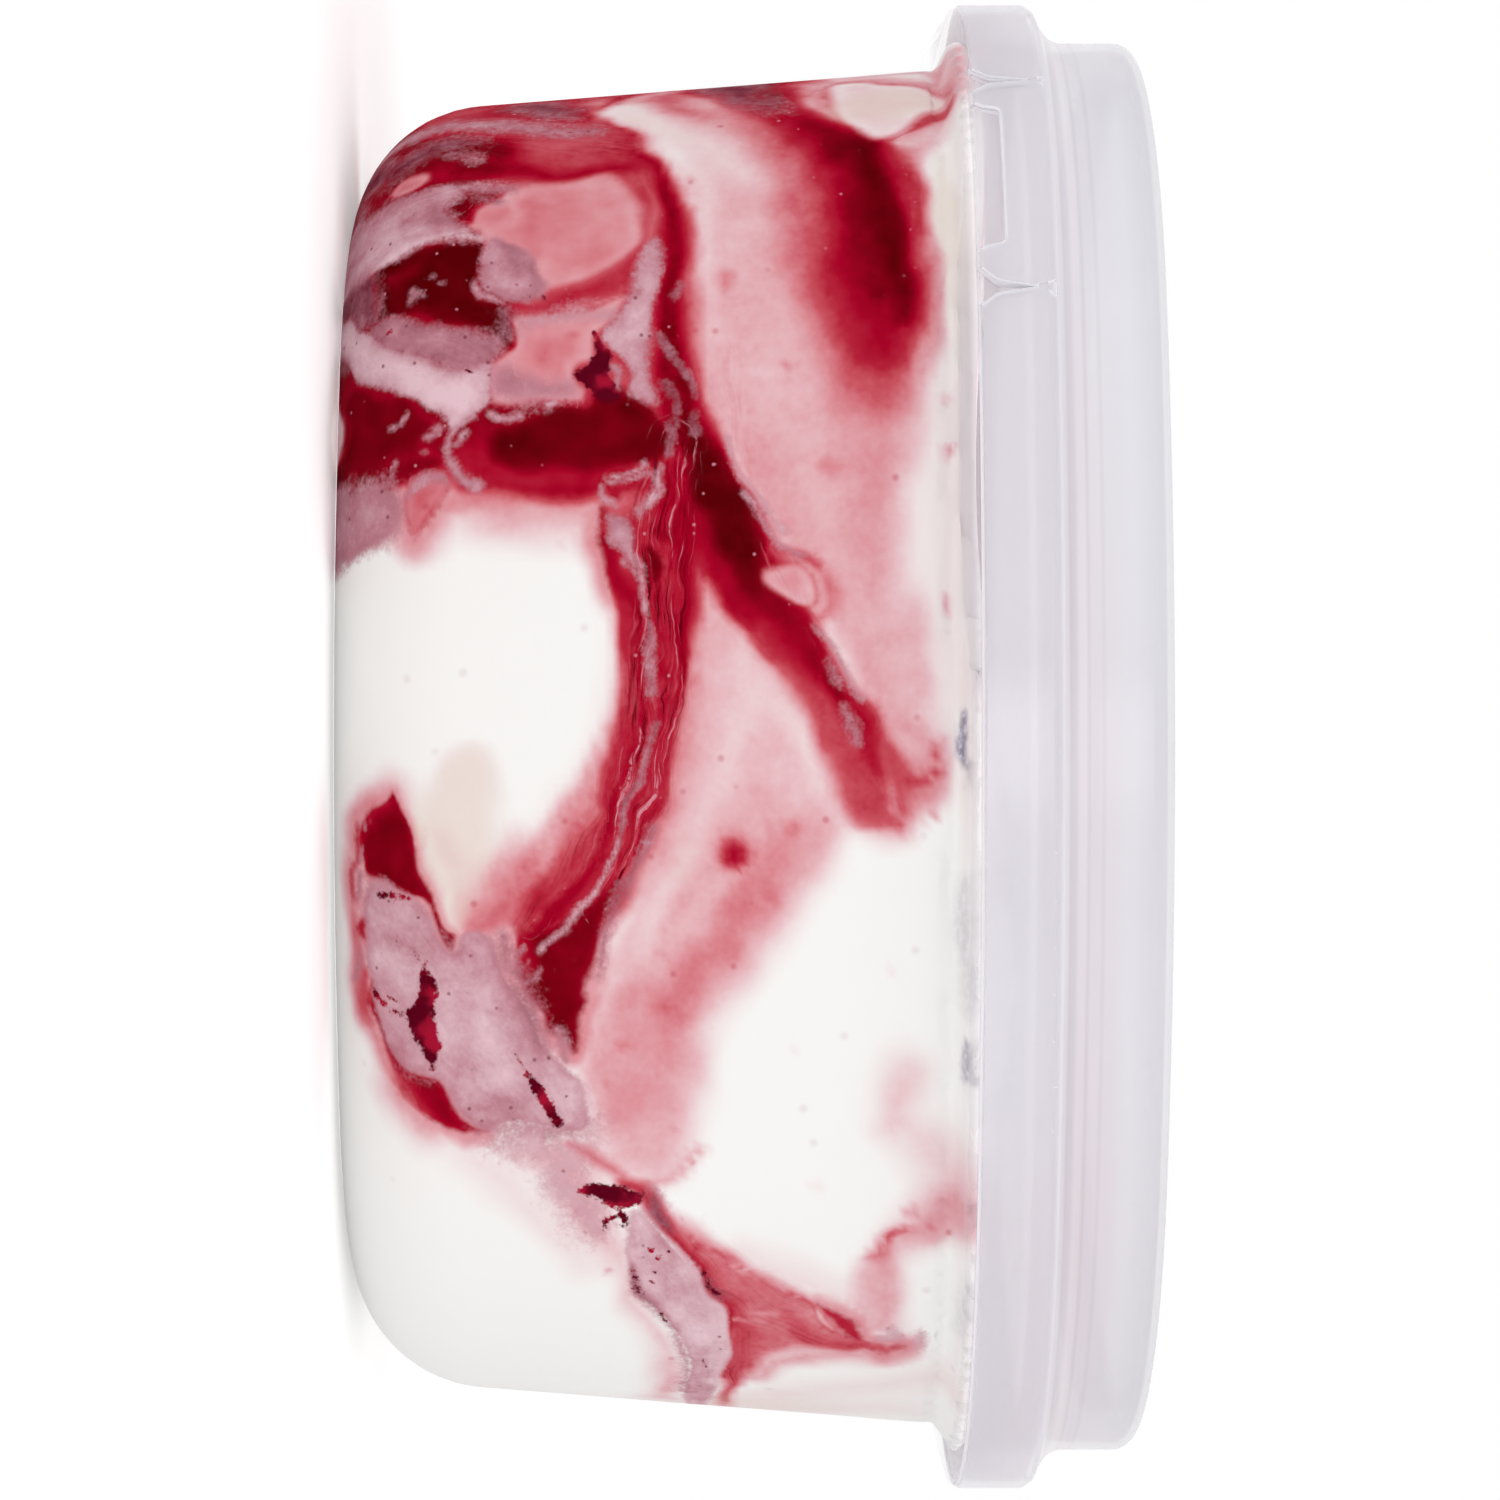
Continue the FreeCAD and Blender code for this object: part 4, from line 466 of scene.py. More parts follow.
# torn dark slits over the frost: (depth of colour, softness, points)
slit = [
    (1, 1, [(-46.6, 29.8), (-45.6, 30.8), (-44.4, 32), (-42.6, 31.4), (-41.2, 31.5), (-40.2, 31.9),
        (-39, 32.8), (-38.4, 30.6), (-40.4, 29), (-42, 28), (-42.8, 29), (-44.2, 29.8)]),
    (1, 1, [(34.5, 21.3), (36.2, 22.8), (37.2, 23.8), (39, 25.2), (40.4, 26), (41.7, 26.9), (42.6, 25.8),
        (40.8, 24.6), (38.6, 23.4), (36.4, 22.4)]),
    (1, 1, [(23.7, 11.7), (25.6, 12.1), (26.4, 12.9), (28, 12.9), (30, 12.4), (32.4, 12.4), (33.4, 13.2),
        (34.4, 12.4), (36.4, 11.8), (34.4, 10.6), (32.6, 9.8), (30.4, 9), (28.6, 10), (26.6, 10.7),
        (25.6, 10.9), (25, 11.4)]),
    (1, 0.8, [(30, 9.6, 0.4), (30.6, 8, 0.25), (30.4, 6.4, 0.2)]),
    (1, 0.8, [(29.2, 7.6, 0.2), (28.9, 6.2, 0.15)]), (1, 0.8, [(29.6, 5.6, 0.3), (28.6, 4.6, 0.3)]),
    (1, 0.8, [(23.1, 10.4, 0.15), (24.2, 10.8, 0.2)]),
    (1, 1, [(50.8, 35.2), (51.6, 34.2), (52.2, 33), (51.8, 31.4), (51.4, 30), (50.7, 28.2), (50.2, 27.7),
        (49.6, 28.6), (49.2, 30), (49.8, 31.8), (49.8, 33.4), (50.2, 34.6)]),
    (1, 0.8, [(52, 32.6, 0.15), (53.4, 33.2, 0.4), (54.8, 33.4, 0.2)]),
    (1, 0.8, [(53.2, 32.4, 0.3), (53.8, 31.5, 0.25), (54.9, 31.3, 0.15)]),
    (0.8, 1, [(17.4, 9.4, 0.15), (17, 7.4, 0.3), (16.6, 5, 0.2)]),
    (1, 1.4, [(60.4, 34.3, 0.15), (62.4, 34.6, 0.3), (64.2, 35.2, 0.15)]),
    (1, 1, [(66.8, 37.2, 0.15), (68.4, 38.2, 0.1)]), (1, 0.8, [(57, 37.4, 0.2)]),
    (1, 0.8, [(57.6, 36.2, 0.3)]), (1, 0.8, [(58.6, 37, 0.15)]), (1, 0.8, [(60.4, 36.8, 0.2)]),
    (1, 0.8, [(62.4, 36.6, 0.2)]), (1, 0.8, [(58, 38, 0.15)]),
    (1, 0.8, [(75.6, 42.2, 0.2), (77, 42.6, 0.15)]),
    (1, 1.2, [(60.6, 42.3, 0.2), (62.6, 43.3, 0.3), (63.2, 44.2, 0.15)]),
    (1, 0.8, [(-42.6, 15.6, 0.2), (-42.2, 16.1, 0.15)]), (1, 0.8, [(-56.6, 1.6, 0.2)]),
    (1, 0.8, [(-57.8, 0.4, 0.2)]), (1, 0.8, [(-48.4, 6.6, 0.15), (-48, 5.4, 0.15)]),
    (1, 0.8, [(-64.6, 7.6, 0.2)]), (1, 0.8, [(-65.2, 9, 0.15)]), (1, 0.8, [(-51.6, 23, 0.12)]),
    (1, 0.8, [(-51.4, 22, 0.12)]), (1, 0.8, [(-53, 21, 0.12)]), (1, 0.8, [(-51.2, 24.6, 0.15)]),
]

# butter-coloured cream with no sauce in it: (strength, softness, points)
butter = [
    (0.8, 2.6, [(0, 17), (2, 19), (6, 20.2), (10, 20), (14, 18.4), (17, 16.6), (20, 15.2), (16.6, 12.8),
        (13, 11.8), (9.4, 10.8), (6.6, 9.8), (5, 11.4), (2, 14)]),
    (1.0, 1.2, [(7.4, 11), (11, 12.6), (15, 14.4), (19, 15), (15.4, 12.6), (12, 11.2), (9, 10.2)]),
    (0.9, 1.6, [(-68, 69.2, 0.6), (-63, 69, 1.2), (-56, 69.6, 1.1), (-49, 70.2, 0.7), (-43, 70, 0.3)]),
    (0.8, 4, [(-79, 58, 1), (-80, 63, 4), (-79, 67, 2)]), (0.4, 3, [(11, 40, 0.6), (13.6, 39.8, 1)]),
    (0.5, 3, [(-75, 39.4, 1), (-82, 33, 0.6)]), (0.4, 8, [(88, 54, 4), (90, 46, 4)]),
]

# painted shade of the hollows under the lid's edge, where no ice cream touches the wall: (strength,
# softness, points)
hollow = [
    (0.9, 0.7, [(-3.2, 70.2, 0.3), (-1.4, 70.5, 0.55), (0.4, 70.4, 0.5), (1.8, 70.8, 0.4)]),
    (0.6, 0.5, [(1.6, 71.2, 0.15), (4.4, 71.1, 0.1)]),
    (0.8, 0.7, [(31.6, 72, 0.2), (34, 72.3, 0.4), (36.4, 71.8, 0.3)]),
    (0.8, 0.7, [(31.8, 70.9, 0.2), (34.6, 71.2, 0.4), (36, 70.9, 0.15)]),
    (0.3, 2, [(14, 70.6, 0.6), (20, 70.8, 1), (28, 71.2, 0.9)]),
    (0.4, 1.4, [(-20, 71.9, 0.4), (-12, 71.9, 0.6), (-5, 71.8, 0.4)]),
    (0.25, 2, [(58, 71.6, 0.5), (62, 71, 0.8), (66, 70.8, 0.5)]),
    (0.8, 3, [(6, 75, 0.8), (0, 75.4, 1.6), (-10, 75, 1.6), (-22, 74.6, 0.8)]),
]

# lines that the laminations run along: (strength, points)
grain_lines = [
    (0.8, [(-34, 39, 2.5), (-26, 38, 3), (-20, 37.6, 3), (-12, 37.8, 3), (-3, 37, 3), (5, 35.6, 3),
        (12, 33.2, 2.4), (18, 30.4, 1.2)]),
    (0.25, [(2, 32, 1), (8, 30.2, 1.5), (14, 27.4, 1.5), (20, 23, 1.5)]),
    (0.35, [(-44, 45, 1), (-30, 46.6, 1.5), (-20, 51, 1.5), (-10, 56.5, 1), (-3, 60.6, 0.8)]),
    (0.2, [(50, 37, 1.5), (57, 42, 3), (64, 48, 4.5), (69, 57, 3)]),
    (0.3, [(70, 46.5, 1.5), (80, 45.5, 1.5), (94, 43.4, 1.5)]),
    (0.25, [(52, 34.5, 1.5), (60, 37.8, 2.5), (70, 41.8, 2.5), (82, 41.8, 1.5), (94, 40, 1)]),
    (0.2, [(18, 5, 3), (28, 13, 6), (38, 21, 5), (46, 27, 3)]),
    (0.2, [(-76, 34, 3), (-78, 26, 5), (-81, 18, 6), (-84, 8, 6), (-90, -4, 6)]),
    (0.25, [(-44, 16, 2), (-46, 6, 4), (-52, -5, 5)]), (0.3, [(-66, 14, 3), (-65, 4, 5), (-68, -6, 5)]),
]


def drawn(points, outline):
    """A smooth line through the points, closed where it's an outline."""
    line = np.array(points, float)
    if len(line) == 1:
        line = np.vstack([line, line + 0.01])
    if outline:
        line = np.vstack([line[-1], line, line[:2]])
    else:
        line = np.vstack([2 * line[0] - line[1], line, 2 * line[-1] - line[-2]])
    smooth = []
    for i in range(1, len(line) - 2):
        a, b, c, d = line[i - 1:i + 3]
        for t in np.linspace(0, 1, 4, endpoint=False):
            bent = (2 * a - 5 * b + 4 * c - d) * t ** 2 + (3 * b - a - 3 * c + d) * t ** 3
            smooth.append(0.5 * (2 * b + (c - a) * t + bent))
    if not outline:
        smooth.append(line[-2])
    return np.array(smooth)


def inside(s, h, points, reach):
    """How far each place lies inside a stroke or outline; far below zero past the reach."""
    outline = len(points[0]) == 2
    line = drawn(points, outline)
    if not outline:
        line[:, 2] = np.maximum(line[:, 2], 0.02)
    wide = 0 if outline else line[:, 2].max()
    low, high = line[:, :2].min(0) - wide - reach, line[:, :2].max(0) + wide + reach
    near = np.flatnonzero((s > low[0]) & (s < high[0]) & (h > low[1]) & (h < high[1]))
    depth = np.full(s.shape, -99.0)
    x, y = s[near], h[near]
    best = np.full(x.shape, -99.0)
    within = np.zeros(x.shape, bool)
    ends = np.roll(line, -1, 0) if outline else line[1:]
    for a, b in zip(line, ends):
        dx, dy = b[0] - a[0], b[1] - a[1]
        t = np.clip(((x - a[0]) * dx + (y - a[1]) * dy) / (dx * dx + dy * dy + 1e-9), 0, 1)
        far = np.hypot(x - a[0] - t * dx, y - a[1] - t * dy)
        width = 0 if outline else a[2] + t * (b[2] - a[2])
        best = np.maximum(best, width - far)
        if outline:
            crossed = (a[1] > y) != (b[1] > y)
            within ^= crossed & (x < dx * (y - a[1]) / (dy + 1e-12) + a[0])
    depth[near] = np.where(within, -best, best)
    return depth


def ease(t):
    """0 to 1, slow at both ends."""
    t = np.clip(t, 0, 1)
    return t * t * (3 - 2 * t)


def soft(s, h, strokes, start):
    """The level of soft-edged strokes, each laid over the ones before."""
    level_here = np.full(s.shape, start)
    for level, softness, points in strokes:
        level_here += (level - level_here) * ease(0.5 + inside(s, h, points, softness) / softness)
    return level_here


def crisp(s, h, strokes, start):
    """Depth inside crisper strokes, in their own softness, and the tone they are laid in."""
    depth, tone = np.full(s.shape, -4.0), np.full(s.shape, start)
    for level, softness, points in strokes:
        deep = np.maximum(inside(s, h, points, 4 * softness) / softness, -4)
        tone += (level - tone) * ease(0.5 + deep / 1.4)
        depth = np.maximum(depth, deep)
    return depth, tone


def laminated(s, h):
    """Run along the nearest grain line, distance to its side, and how strong the laminations are."""
    run, lie, strength = np.zeros((3,) + s.shape)
    for much, points in grain_lines:
        line = drawn(points, False)
        best, start = np.full(s.shape, 99.0), 0.0
        mine = np.zeros((3,) + s.shape)
        for a, b in zip(line, line[1:]):
            dx, dy = b[0] - a[0], b[1] - a[1]
            size = math.hypot(dx, dy)
            t = np.clip(((s - a[0]) * dx + (h - a[1]) * dy) / size ** 2, 0, 1)
            far = np.hypot(s - a[0] - t * dx, h - a[1] - t * dy)
            side = np.sign(dx * (h - a[1]) - dy * (s - a[0]))
            width = a[2] + t * (b[2] - a[2])
            mine = np.where(far < best, [start + t * size, side * far, ease(0.5 + (width - far) / 2)], mine)
            best = np.minimum(best, far)
            start += size
        shows = mine[2] * much > strength
        run, lie = np.where(shows, mine[0], run), np.where(shows, mine[1], lie)
        strength = np.maximum(strength, mine[2] * much)
    return run, lie, strength


def tinted(s, h, strokes):
    """How strongly a tint lies at each place."""
    strength = np.zeros(s.shape)
    for much, softness, points in strokes:
        strength = np.maximum(strength, much * ease(0.5 + inside(s, h, points, softness) / softness))
    return strength


layer_names = ("stain", "sauce", "sauce tone", "frost", "frost tone", "slit",
               "run", "lie", "laminations", "butter", "hollow")
crisp_edges = [layer_names.index(name) for name in ("sauce", "frost", "slit")]


def ripple_layers(s, h):
    """The layers of the ripple in the order of their names."""
    sauce_depth, sauce_tone = crisp(s, h, sauce, 0.9)
    pink = np.maximum(soft(s, h, stain, 0.01), 0.42 * ease(1 + (sauce_depth + 0.3) / 3))
    return np.array([pink, sauce_depth, sauce_tone, *crisp(s, h, frost, 0.6), crisp(s, h, slit, 1.0)[0],
                     *laminated(s, h), tinted(s, h, butter), tinted(s, h, hollow)])


# the oval's plan, in millimetres from the lid's outline, and the tub wall's section inside it
side_swell = 5.5                            # half the width less the radius of the two ends
wall_inset = 11                             # the wall at half its height
base_corner, base_flat = 16.5, 28.1         # radius under the wall; inset where the base is flat
brim_inset = 9.5                            # inside this the top of the ice cream lies open
lid_low, lid_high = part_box("lid")
half_length, half_width = lid_high[0] * 1000, lid_high[1] * 1000
end_radius = half_width - side_swell
end_centre = half_length - end_radius
side_radius = (end_centre ** 2 + half_width ** 2 - end_radius ** 2) / (2 * side_swell)
side_centre = side_radius - half_width
side_turn = math.atan2(end_centre, side_centre)
side_run = (side_radius - wall_inset) * side_turn
quarter = side_run + (end_radius - wall_inset) * (math.pi / 2 - side_turn)


def ripple_at(places):
    """The layers of the ripple at places given in metres."""
    x, y, z = places.reshape(-1, 3).T * 1000
    turn = np.arctan2(np.abs(x), side_centre + np.abs(y))
    on_side = turn < side_turn
    bend = np.arctan2(np.abs(x) - end_centre, np.abs(y))
    inset = np.where(on_side, side_radius - np.hypot(x, side_centre + np.abs(y)),
                     end_radius - np.hypot(np.abs(x) - end_centre, y))
    s = np.where(on_side, turn * (side_radius - wall_inset),
                 side_run + (bend - side_turn) * (end_radius - wall_inset))
    s = np.where(y > 0, 2 * quarter - s, s) * np.where(x < 0, -1, 1)
    corner = np.clip(np.arctan2(base_corner - z, base_flat - inset), 0, math.pi / 2)
    flat = np.maximum(inset - base_flat, 0) * (z < base_corner / 2)
    h = np.where(z > base_corner, z, base_corner - base_corner * corner - flat)
    # the front as drawn, wavering a little
    sway = 0.32 * np.sin(0.9 * s + 1.7 * np.sin(0.41 * h))
    heave = 0.32 * np.sin(0.8 * h + 1.9 * np.sin(0.37 * s + 1))
    layers = ripple_layers(s + sway, h + heave)
    # the back is the front turned over; the base and the open top are drawn flat
    back = np.sign(s) * (2 * quarter - np.abs(s)) + 4 * np.sin(h / 17)
    behind = ripple_layers(back, 70 - h + 4 * np.sin(s / 33))
    layers += (behind - layers) * ease((np.abs(s) - quarter + 3 * np.sin(h / 5)) / 12 + 0.5)
    under = ripple_layers(x * 0.95 + 6, 33 + y * 0.66)
    layers += (under - layers) * ease((-h - 8) / 6)
    over = ripple_layers(-x * 0.9 + 4 * np.sin(y / 9), 36 - y * 0.7 + 3 * np.sin(x / 14))
    layers += (over - layers) * ease((inset - brim_inset) / 3) * (z > 55)
    return layers


def read(rows, name):
    """A value of the mesh's faces or points, such as their places, three numbers to each."""
    values = np.empty(len(rows) * 3)
    rows.foreach_get(name, values)
    return values


# finer faces against the front wall, and once more along the crisp edges of the ripple
bpy.ops.object.mode_set(mode="EDIT")
bpy.ops.mesh.select_mode(type="FACE")
for cuts in (1, 2):
    bpy.ops.mesh.select_all(action="DESELECT")
    bpy.ops.object.mode_set(mode="OBJECT")
    faces = fill.data.polygons
    centres = read(faces, "center")
    y, z = centres[1::3], centres[2::3]
    chosen = (y < front_depth) & (front_from < z) & (z < front_to) & (read(faces, "normal")[2::3] < 0.6)
    if cuts == 2:
        chosen &= (np.abs(ripple_at(centres)[crisp_edges]) < crisp_reach).any(0)
    faces.foreach_set("select", chosen)
    bpy.ops.object.mode_set(mode="EDIT")
    bpy.ops.mesh.subdivide(number_cuts=cuts)
bpy.ops.object.mode_set(mode="OBJECT")

# pressed outwards just into the wall, so no air shows between
pressed = fill.modifiers.new("pressed", "SHRINKWRAP")
pressed.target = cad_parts["ice_cream"]
pressed.wrap_method = "NEAREST_SURFACEPOINT"
pressed.wrap_mode = "OUTSIDE"
pressed.offset = wall_reach
held = fill.vertex_groups.new(name="pressed")
for point in fill.data.vertices:
    held.add([point.index], 1.0 if point.co.z < flare_start else flare_hold, "REPLACE")
pressed.vertex_group = held.name
bpy.ops.object.modifier_apply(modifier=pressed.name)
bpy.ops.object.shade_smooth()

for name, values in zip(layer_names, ripple_at(read(fill.data.vertices, "co"))):
    kept = fill.data.attributes.new(name, "FLOAT", "POINT")
    kept.data.foreach_set("value", values)


class Shade:
    """A value in a material; arithmetic on it adds the Math nodes."""

    def __init__(self, tree, socket=None):
        self.tree, self.socket = tree, socket

    def node(self, kind, settings=(), inputs=(), out=0):
        """Any node: its settings, then the values or links of its sockets; gives one of its outputs."""
        made = self.tree.nodes.new("ShaderNode" + kind)
        for name, value in dict(settings).items():
            if name == "stops":
                while len(made.color_ramp.elements) < len(value):
                    made.color_ramp.elements.new(1)
                for element, (place, colour) in zip(made.color_ramp.elements, value):
                    element.position, element.color = place, colour
            else:
                setattr(made, name, value)
        for name, value in dict(inputs).items():
            if isinstance(value, Shade):
                self.tree.links.new(value.socket, made.inputs[name])
            else:
                made.inputs[name].default_value = value
        return Shade(self.tree, made.outputs[out] if made.outputs else None)

    def maths(self, operation, *values):
        """A Math node."""
        return self.node("Math", {"operation": operation}, dict(enumerate(values)))

    def __add__(self, other):
        return self.maths("ADD", self, other)

    def __sub__(self, other):
        return self.maths("SUBTRACT", self, other)

    def __rsub__(self, other):
        return self.maths("SUBTRACT", other, self)

    def __mul__(self, other):
        return self.maths("MULTIPLY", self, other)

    __radd__, __rmul__ = __add__, __mul__

    def step(self, low, high):
        """0 below low, 1 above high, eased between."""
        return self.node("MapRange", {"interpolation_type": "SMOOTHSTEP"}, {0: self, 1: low, 2: high})

    def part(self, out):
        """One number of a vector."""
        return self.node("SeparateXYZ", {}, {0: self}, out)


def paint(red, green, blue):
    """A colour given as it looks, 0 to 255, in the linear numbers of a shader."""
    looks = (red / 255, green / 255, blue / 255)
    return (*(c / 12.92 if c < 0.0404 else ((c + 0.055) / 1.055) ** 2.4 for c in looks), 1)


def blend(under, over, amount):
    """Colour over colour."""
    shade = amount if isinstance(amount, Shade) else under
    return shade.node("Mix", {"data_type": "RGBA"}, {0: amount, 6: under, 7: over}, 2)


def material(name):
    """A new material with no nodes, and the Shade that adds them."""
    made = bpy.data.materials.new(name)
    made.use_nodes = True
    made.node_tree.nodes.clear()
    return made, Shade(made.node_tree)


def finish_with(piece, made, shader):
    """End the material with this shader, and make it the piece's only one."""
    shader.node("OutputMaterial", {}, {"Surface": shader})
    piece.data.materials.clear()
    piece.data.materials.append(made)


ripple, m = material("cherry ripple ice cream")
place = m.node("TexCoord", {}, {}, "Object")
layer = {name: m.node("Attribute", {"attribute_name": name}, {}, "Fac") for name in layer_names}
pink, lie = layer["stain"], layer["lie"]


def noise(where, scale, detail, rough):
    """Cloudy noise, a half either side of zero."""
    inputs = {"Vector": where, "Scale": scale, "Detail": detail, "Roughness": rough}
    return m.node("TexNoise", {}, inputs) - 0.5


def drawn_out(along, across, turn, detail, rough):
    """Noise drawn out along the laminations."""
    sheet = m.node("CombineXYZ", {}, {0: layer["run"] * along, 1: across, 2: turn})
    return noise(sheet, 1.0, detail, rough)


def dots(scale, share, small, large, far=0.0):
    """Specks scattered in a few of the cells."""
    moved = m.node("VectorMath", {"operation": "ADD"}, {0: place, 1: (far, far, far)})
    cell = m.node("TexVoronoi", {}, {"Vector": moved, "Scale": scale})
    chosen = m.node("TexVoronoi", {}, {"Vector": moved, "Scale": scale}, "Color").part(0)
    return (1 - cell.step(small, large)) * (1 - chosen.step(share, share + 0.01))


broad, mid, fine = (noise(place, scale, 2.0, 0.5) for scale in (90, 320, 1100))
grain = noise(place, 2600, 1, 0.5)
streak = drawn_out(0.16, (lie + mid * 1.2) * 1.7, 0.0, 4.0, 0.65)
thread = drawn_out(0.09, (lie + mid * 1.4) * 1.9, 4.0, 3.0, 0.6)

# from cream through pink to the darkest sauce
reds = [(0.0, paint(240, 240, 238)), (0.12, paint(234, 221, 221)), (0.30, paint(223, 178, 184)),
        (0.45, paint(213, 135, 143)), (0.58, paint(196, 82, 94)), (0.70, paint(176, 34, 56)),
        (0.80, paint(162, 2, 36)), (0.90, paint(124, 0, 18)), (1.0, paint(86, 0, 4))]
cloud = (broad * 0.16 + mid * 0.13 + fine * 0.08) * (pink * 3).step(0, 1)
colour = m.node("ValToRGB", {"stops": reds}, {0: pink + cloud + streak * layer["laminations"] * 0.6})
rim = (1 - layer["sauce"].step(0.0, 1.6)) * 0.08
deep = m.node("ValToRGB", {"stops": reds}, {0: layer["sauce tone"] + mid * 0.16 + broad * 0.08 - rim})
colour = blend(colour, deep, (layer["sauce"] + fine * 0.6 + mid * 0.5 + grain * 0.15).step(-0.5, 0.5))

# dark and pale threads in the laminations, and cream that stayed plain
banded = pink.step(0.45, 0.62) * layer["laminations"] * 1.3
colour = blend(colour, paint(98, 0, 14), (0 - thread).step(0.04, 0.16) * banded)
pale_thread = thread.step(0.07, 0.18) * (fine + 0.5).step(0.3, 0.5)
colour = blend(colour, paint(204, 128, 142), pale_thread * banded)
colour = blend(colour, blend(colour, paint(222, 209, 196), 0.62), layer["butter"])

# specks of fruit and of frost
pinkish = pink.step(0.12, 0.3) * (1 - pink.step(0.55, 0.7))
colour = blend(colour, paint(188, 66, 84), dots(260, 0.5, 0.03, 0.16) * pinkish * 0.5)
in_cream = 1 - pink.step(0.08, 0.2)
colour = blend(colour, paint(203, 180, 190), dots(230, 0.3, 0.03, 0.18, 0.3) * in_cream * 0.3)
in_sauce = pink.step(0.62, 0.75) * (mid + 0.1).step(0.0, 0.1)
colour = blend(colour, paint(214, 140, 155), dots(900, 0.14, 0.1, 0.24, 0.6) * in_sauce * 0.7)

# frost, torn slits over it, and the painted shade of the hollows
frosts = [(0.0, paint(112, 36, 56)), (0.5, paint(184, 124, 137)), (1.0, paint(226, 194, 203))]
rim = (1 - layer["frost"].step(0.0, 2.2)) * 0.14
powder = broad * 0.35 + mid * 0.45 + fine * 0.22 + grain * 0.12 + streak * layer["laminations"]
frosty = m.node("ValToRGB", {"stops": frosts}, {0: layer["frost tone"] + 0.06 - rim + powder})
frosty = blend(frosty, paint(112, 30, 52), dots(700, 0.22, 0.08, 0.24, 0.9) * 0.7)
icy = (layer["frost"] + fine * 0.9 + grain * 0.7 + mid * 0.7).step(-0.65, 0.6)
colour = blend(colour, frosty, icy * 0.96)
sliced = blend(paint(88, 2, 24), paint(160, 18, 48), (mid + 0.5).step(0.42, 0.66))
colour = blend(colour, sliced, (layer["slit"] + fine * 1.2 + grain * 0.8).step(-0.2, 0.25))
# painted shade: the air gaps under the lid's edge shown as grey-lilac shadow on the ice cream
empty = blend(paint(116, 112, 134), paint(190, 186, 204), (fine + 0.5).step(0.4, 0.7))
colour = blend(colour, empty, layer["hollow"])

# above the wall's flare the ice cream glows in its own colour: painted light, standing in for the light the
# milky plastic gathers over it
painted_glow = place.part(2).step(0.0712, 0.0728) * 0.42
finish_with(fill, ripple, m.node("BsdfPrincipled", {}, {
    "Base Color": colour, "Roughness": 0.55, "Specular IOR Level": 0.0,
    "Emission Color": blend(paint(0, 0, 0), colour, painted_glow), "Emission Strength": 1.0}))
ripple.cycles.emission_sampling = "NONE"
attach(fill, "root")
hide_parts("ice_cream")

# --- Tub ---------------------------------------------------------------------
# Thin clear polypropylene, injection moulded; clear on the wall, faintly milky
# at the flange and rim, where light runs along inside the plastic.


def plastic(m, colour, rough, soft, share, veil):
    """A veil of plastic over clear: partly a plain surface, partly light let through softly."""
    plain = m.node("BsdfPrincipled", {}, {"Base Color": colour, "Roughness": rough})
    glow = m.node("BsdfTranslucent", {}, {"Color": soft})
    body = m.node("MixShader", {}, {0: share, 1: plain, 2: glow})
    return m.node("MixShader", {}, {0: veil, 1: m.node("BsdfTransparent"), 2: body})


clear, m = material("clear tub plastic")
up = m.node("TexCoord", {}, {}, "Object").part(2)
edge_on = m.node("LayerWeight", {}, {"Blend": 0.5}, "Facing")
milk = up.step(0.0695, 0.0712) * 0.16 + up.step(0.0722, 0.0730) * 0.14 + 0.002
veil = milk + edge_on.maths("POWER", edge_on, 6.0) * 0.05
finish_with(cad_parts["tub"], clear,
            plastic(m, paint(246, 244, 248), 0.12, paint(248, 245, 249), 0.35, veil))

# --- Lid ---------------------------------------------------------------------
# The same plastic a little thicker and milkier, snapped over the flange. Its colour
# goes by height, from the crease over the shoulder to the crest of the stacking ring,
# with pale bands of painted highlight and grey bands of painted shade along the way.

milky, m = material("milky lid plastic")
up = m.node("TexCoord", {}, {}, "Object").part(2) * 1000
edge_on = m.node("LayerWeight", {}, {"Blend": 0.5}, "Facing")
ring = paint(228, 230, 235)
# painted light: pale lines of painted highlight and grey bands of painted shade over the crease and the
# shoulder's curve, a grey line on the ring, and darker again towards the crest
colour_and_painted_shade_by_height = m.node("ValToRGB", {"stops": [
    (0.0, paint(236, 233, 239)), (0.02, paint(248, 247, 250)), (0.05, paint(213, 211, 217)),
    (0.10, paint(219, 217, 223)), (0.14, paint(240, 240, 244)), (0.19, paint(239, 239, 244)),
    (0.22, paint(216, 212, 219)), (0.25, ring), (0.32, ring), (0.35, paint(215, 216, 222)),
    (0.38, ring), (0.62, ring), (0.86, paint(213, 214, 220))]}, {0: (up - 81.0) * 0.08})
veil = edge_on.maths("POWER", edge_on, 3.0) * 0.2 + 0.38 + (1 - up.step(80.9, 81.3)) * 0.06
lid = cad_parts["lid"]
finish_with(lid, milky, plastic(m, colour_and_painted_shade_by_height, 0.16, paint(246, 245, 250), 0.3, veil))

# --- Lid edge beads ----------------------------------------------------------
# The moulded edges of the lid's skirt and of its tear tab are thick enough to gather light
# and show white. That light is painted: a fine near-white bead along each edge, a little
# inside the skirt's own surface.

bead_radius = 0.0002
skirt_foot = lid_low[2]
rounding = 0.00025                          # of the lower edge, whose own sharp lines get no bead
skirt_top = skirt_foot + 0.0093             # edges that start above here get none,
bridge = skirt_foot + 0.0062                # nor do those that stand upright above here
level, upright = 0.00002, 0.0002            # rise of what counts as level, and as upright
beads_in = (0.9976, 0.9964, 1)
foot_hang = 0.00014                         # the lowest bead hangs this far under its edge

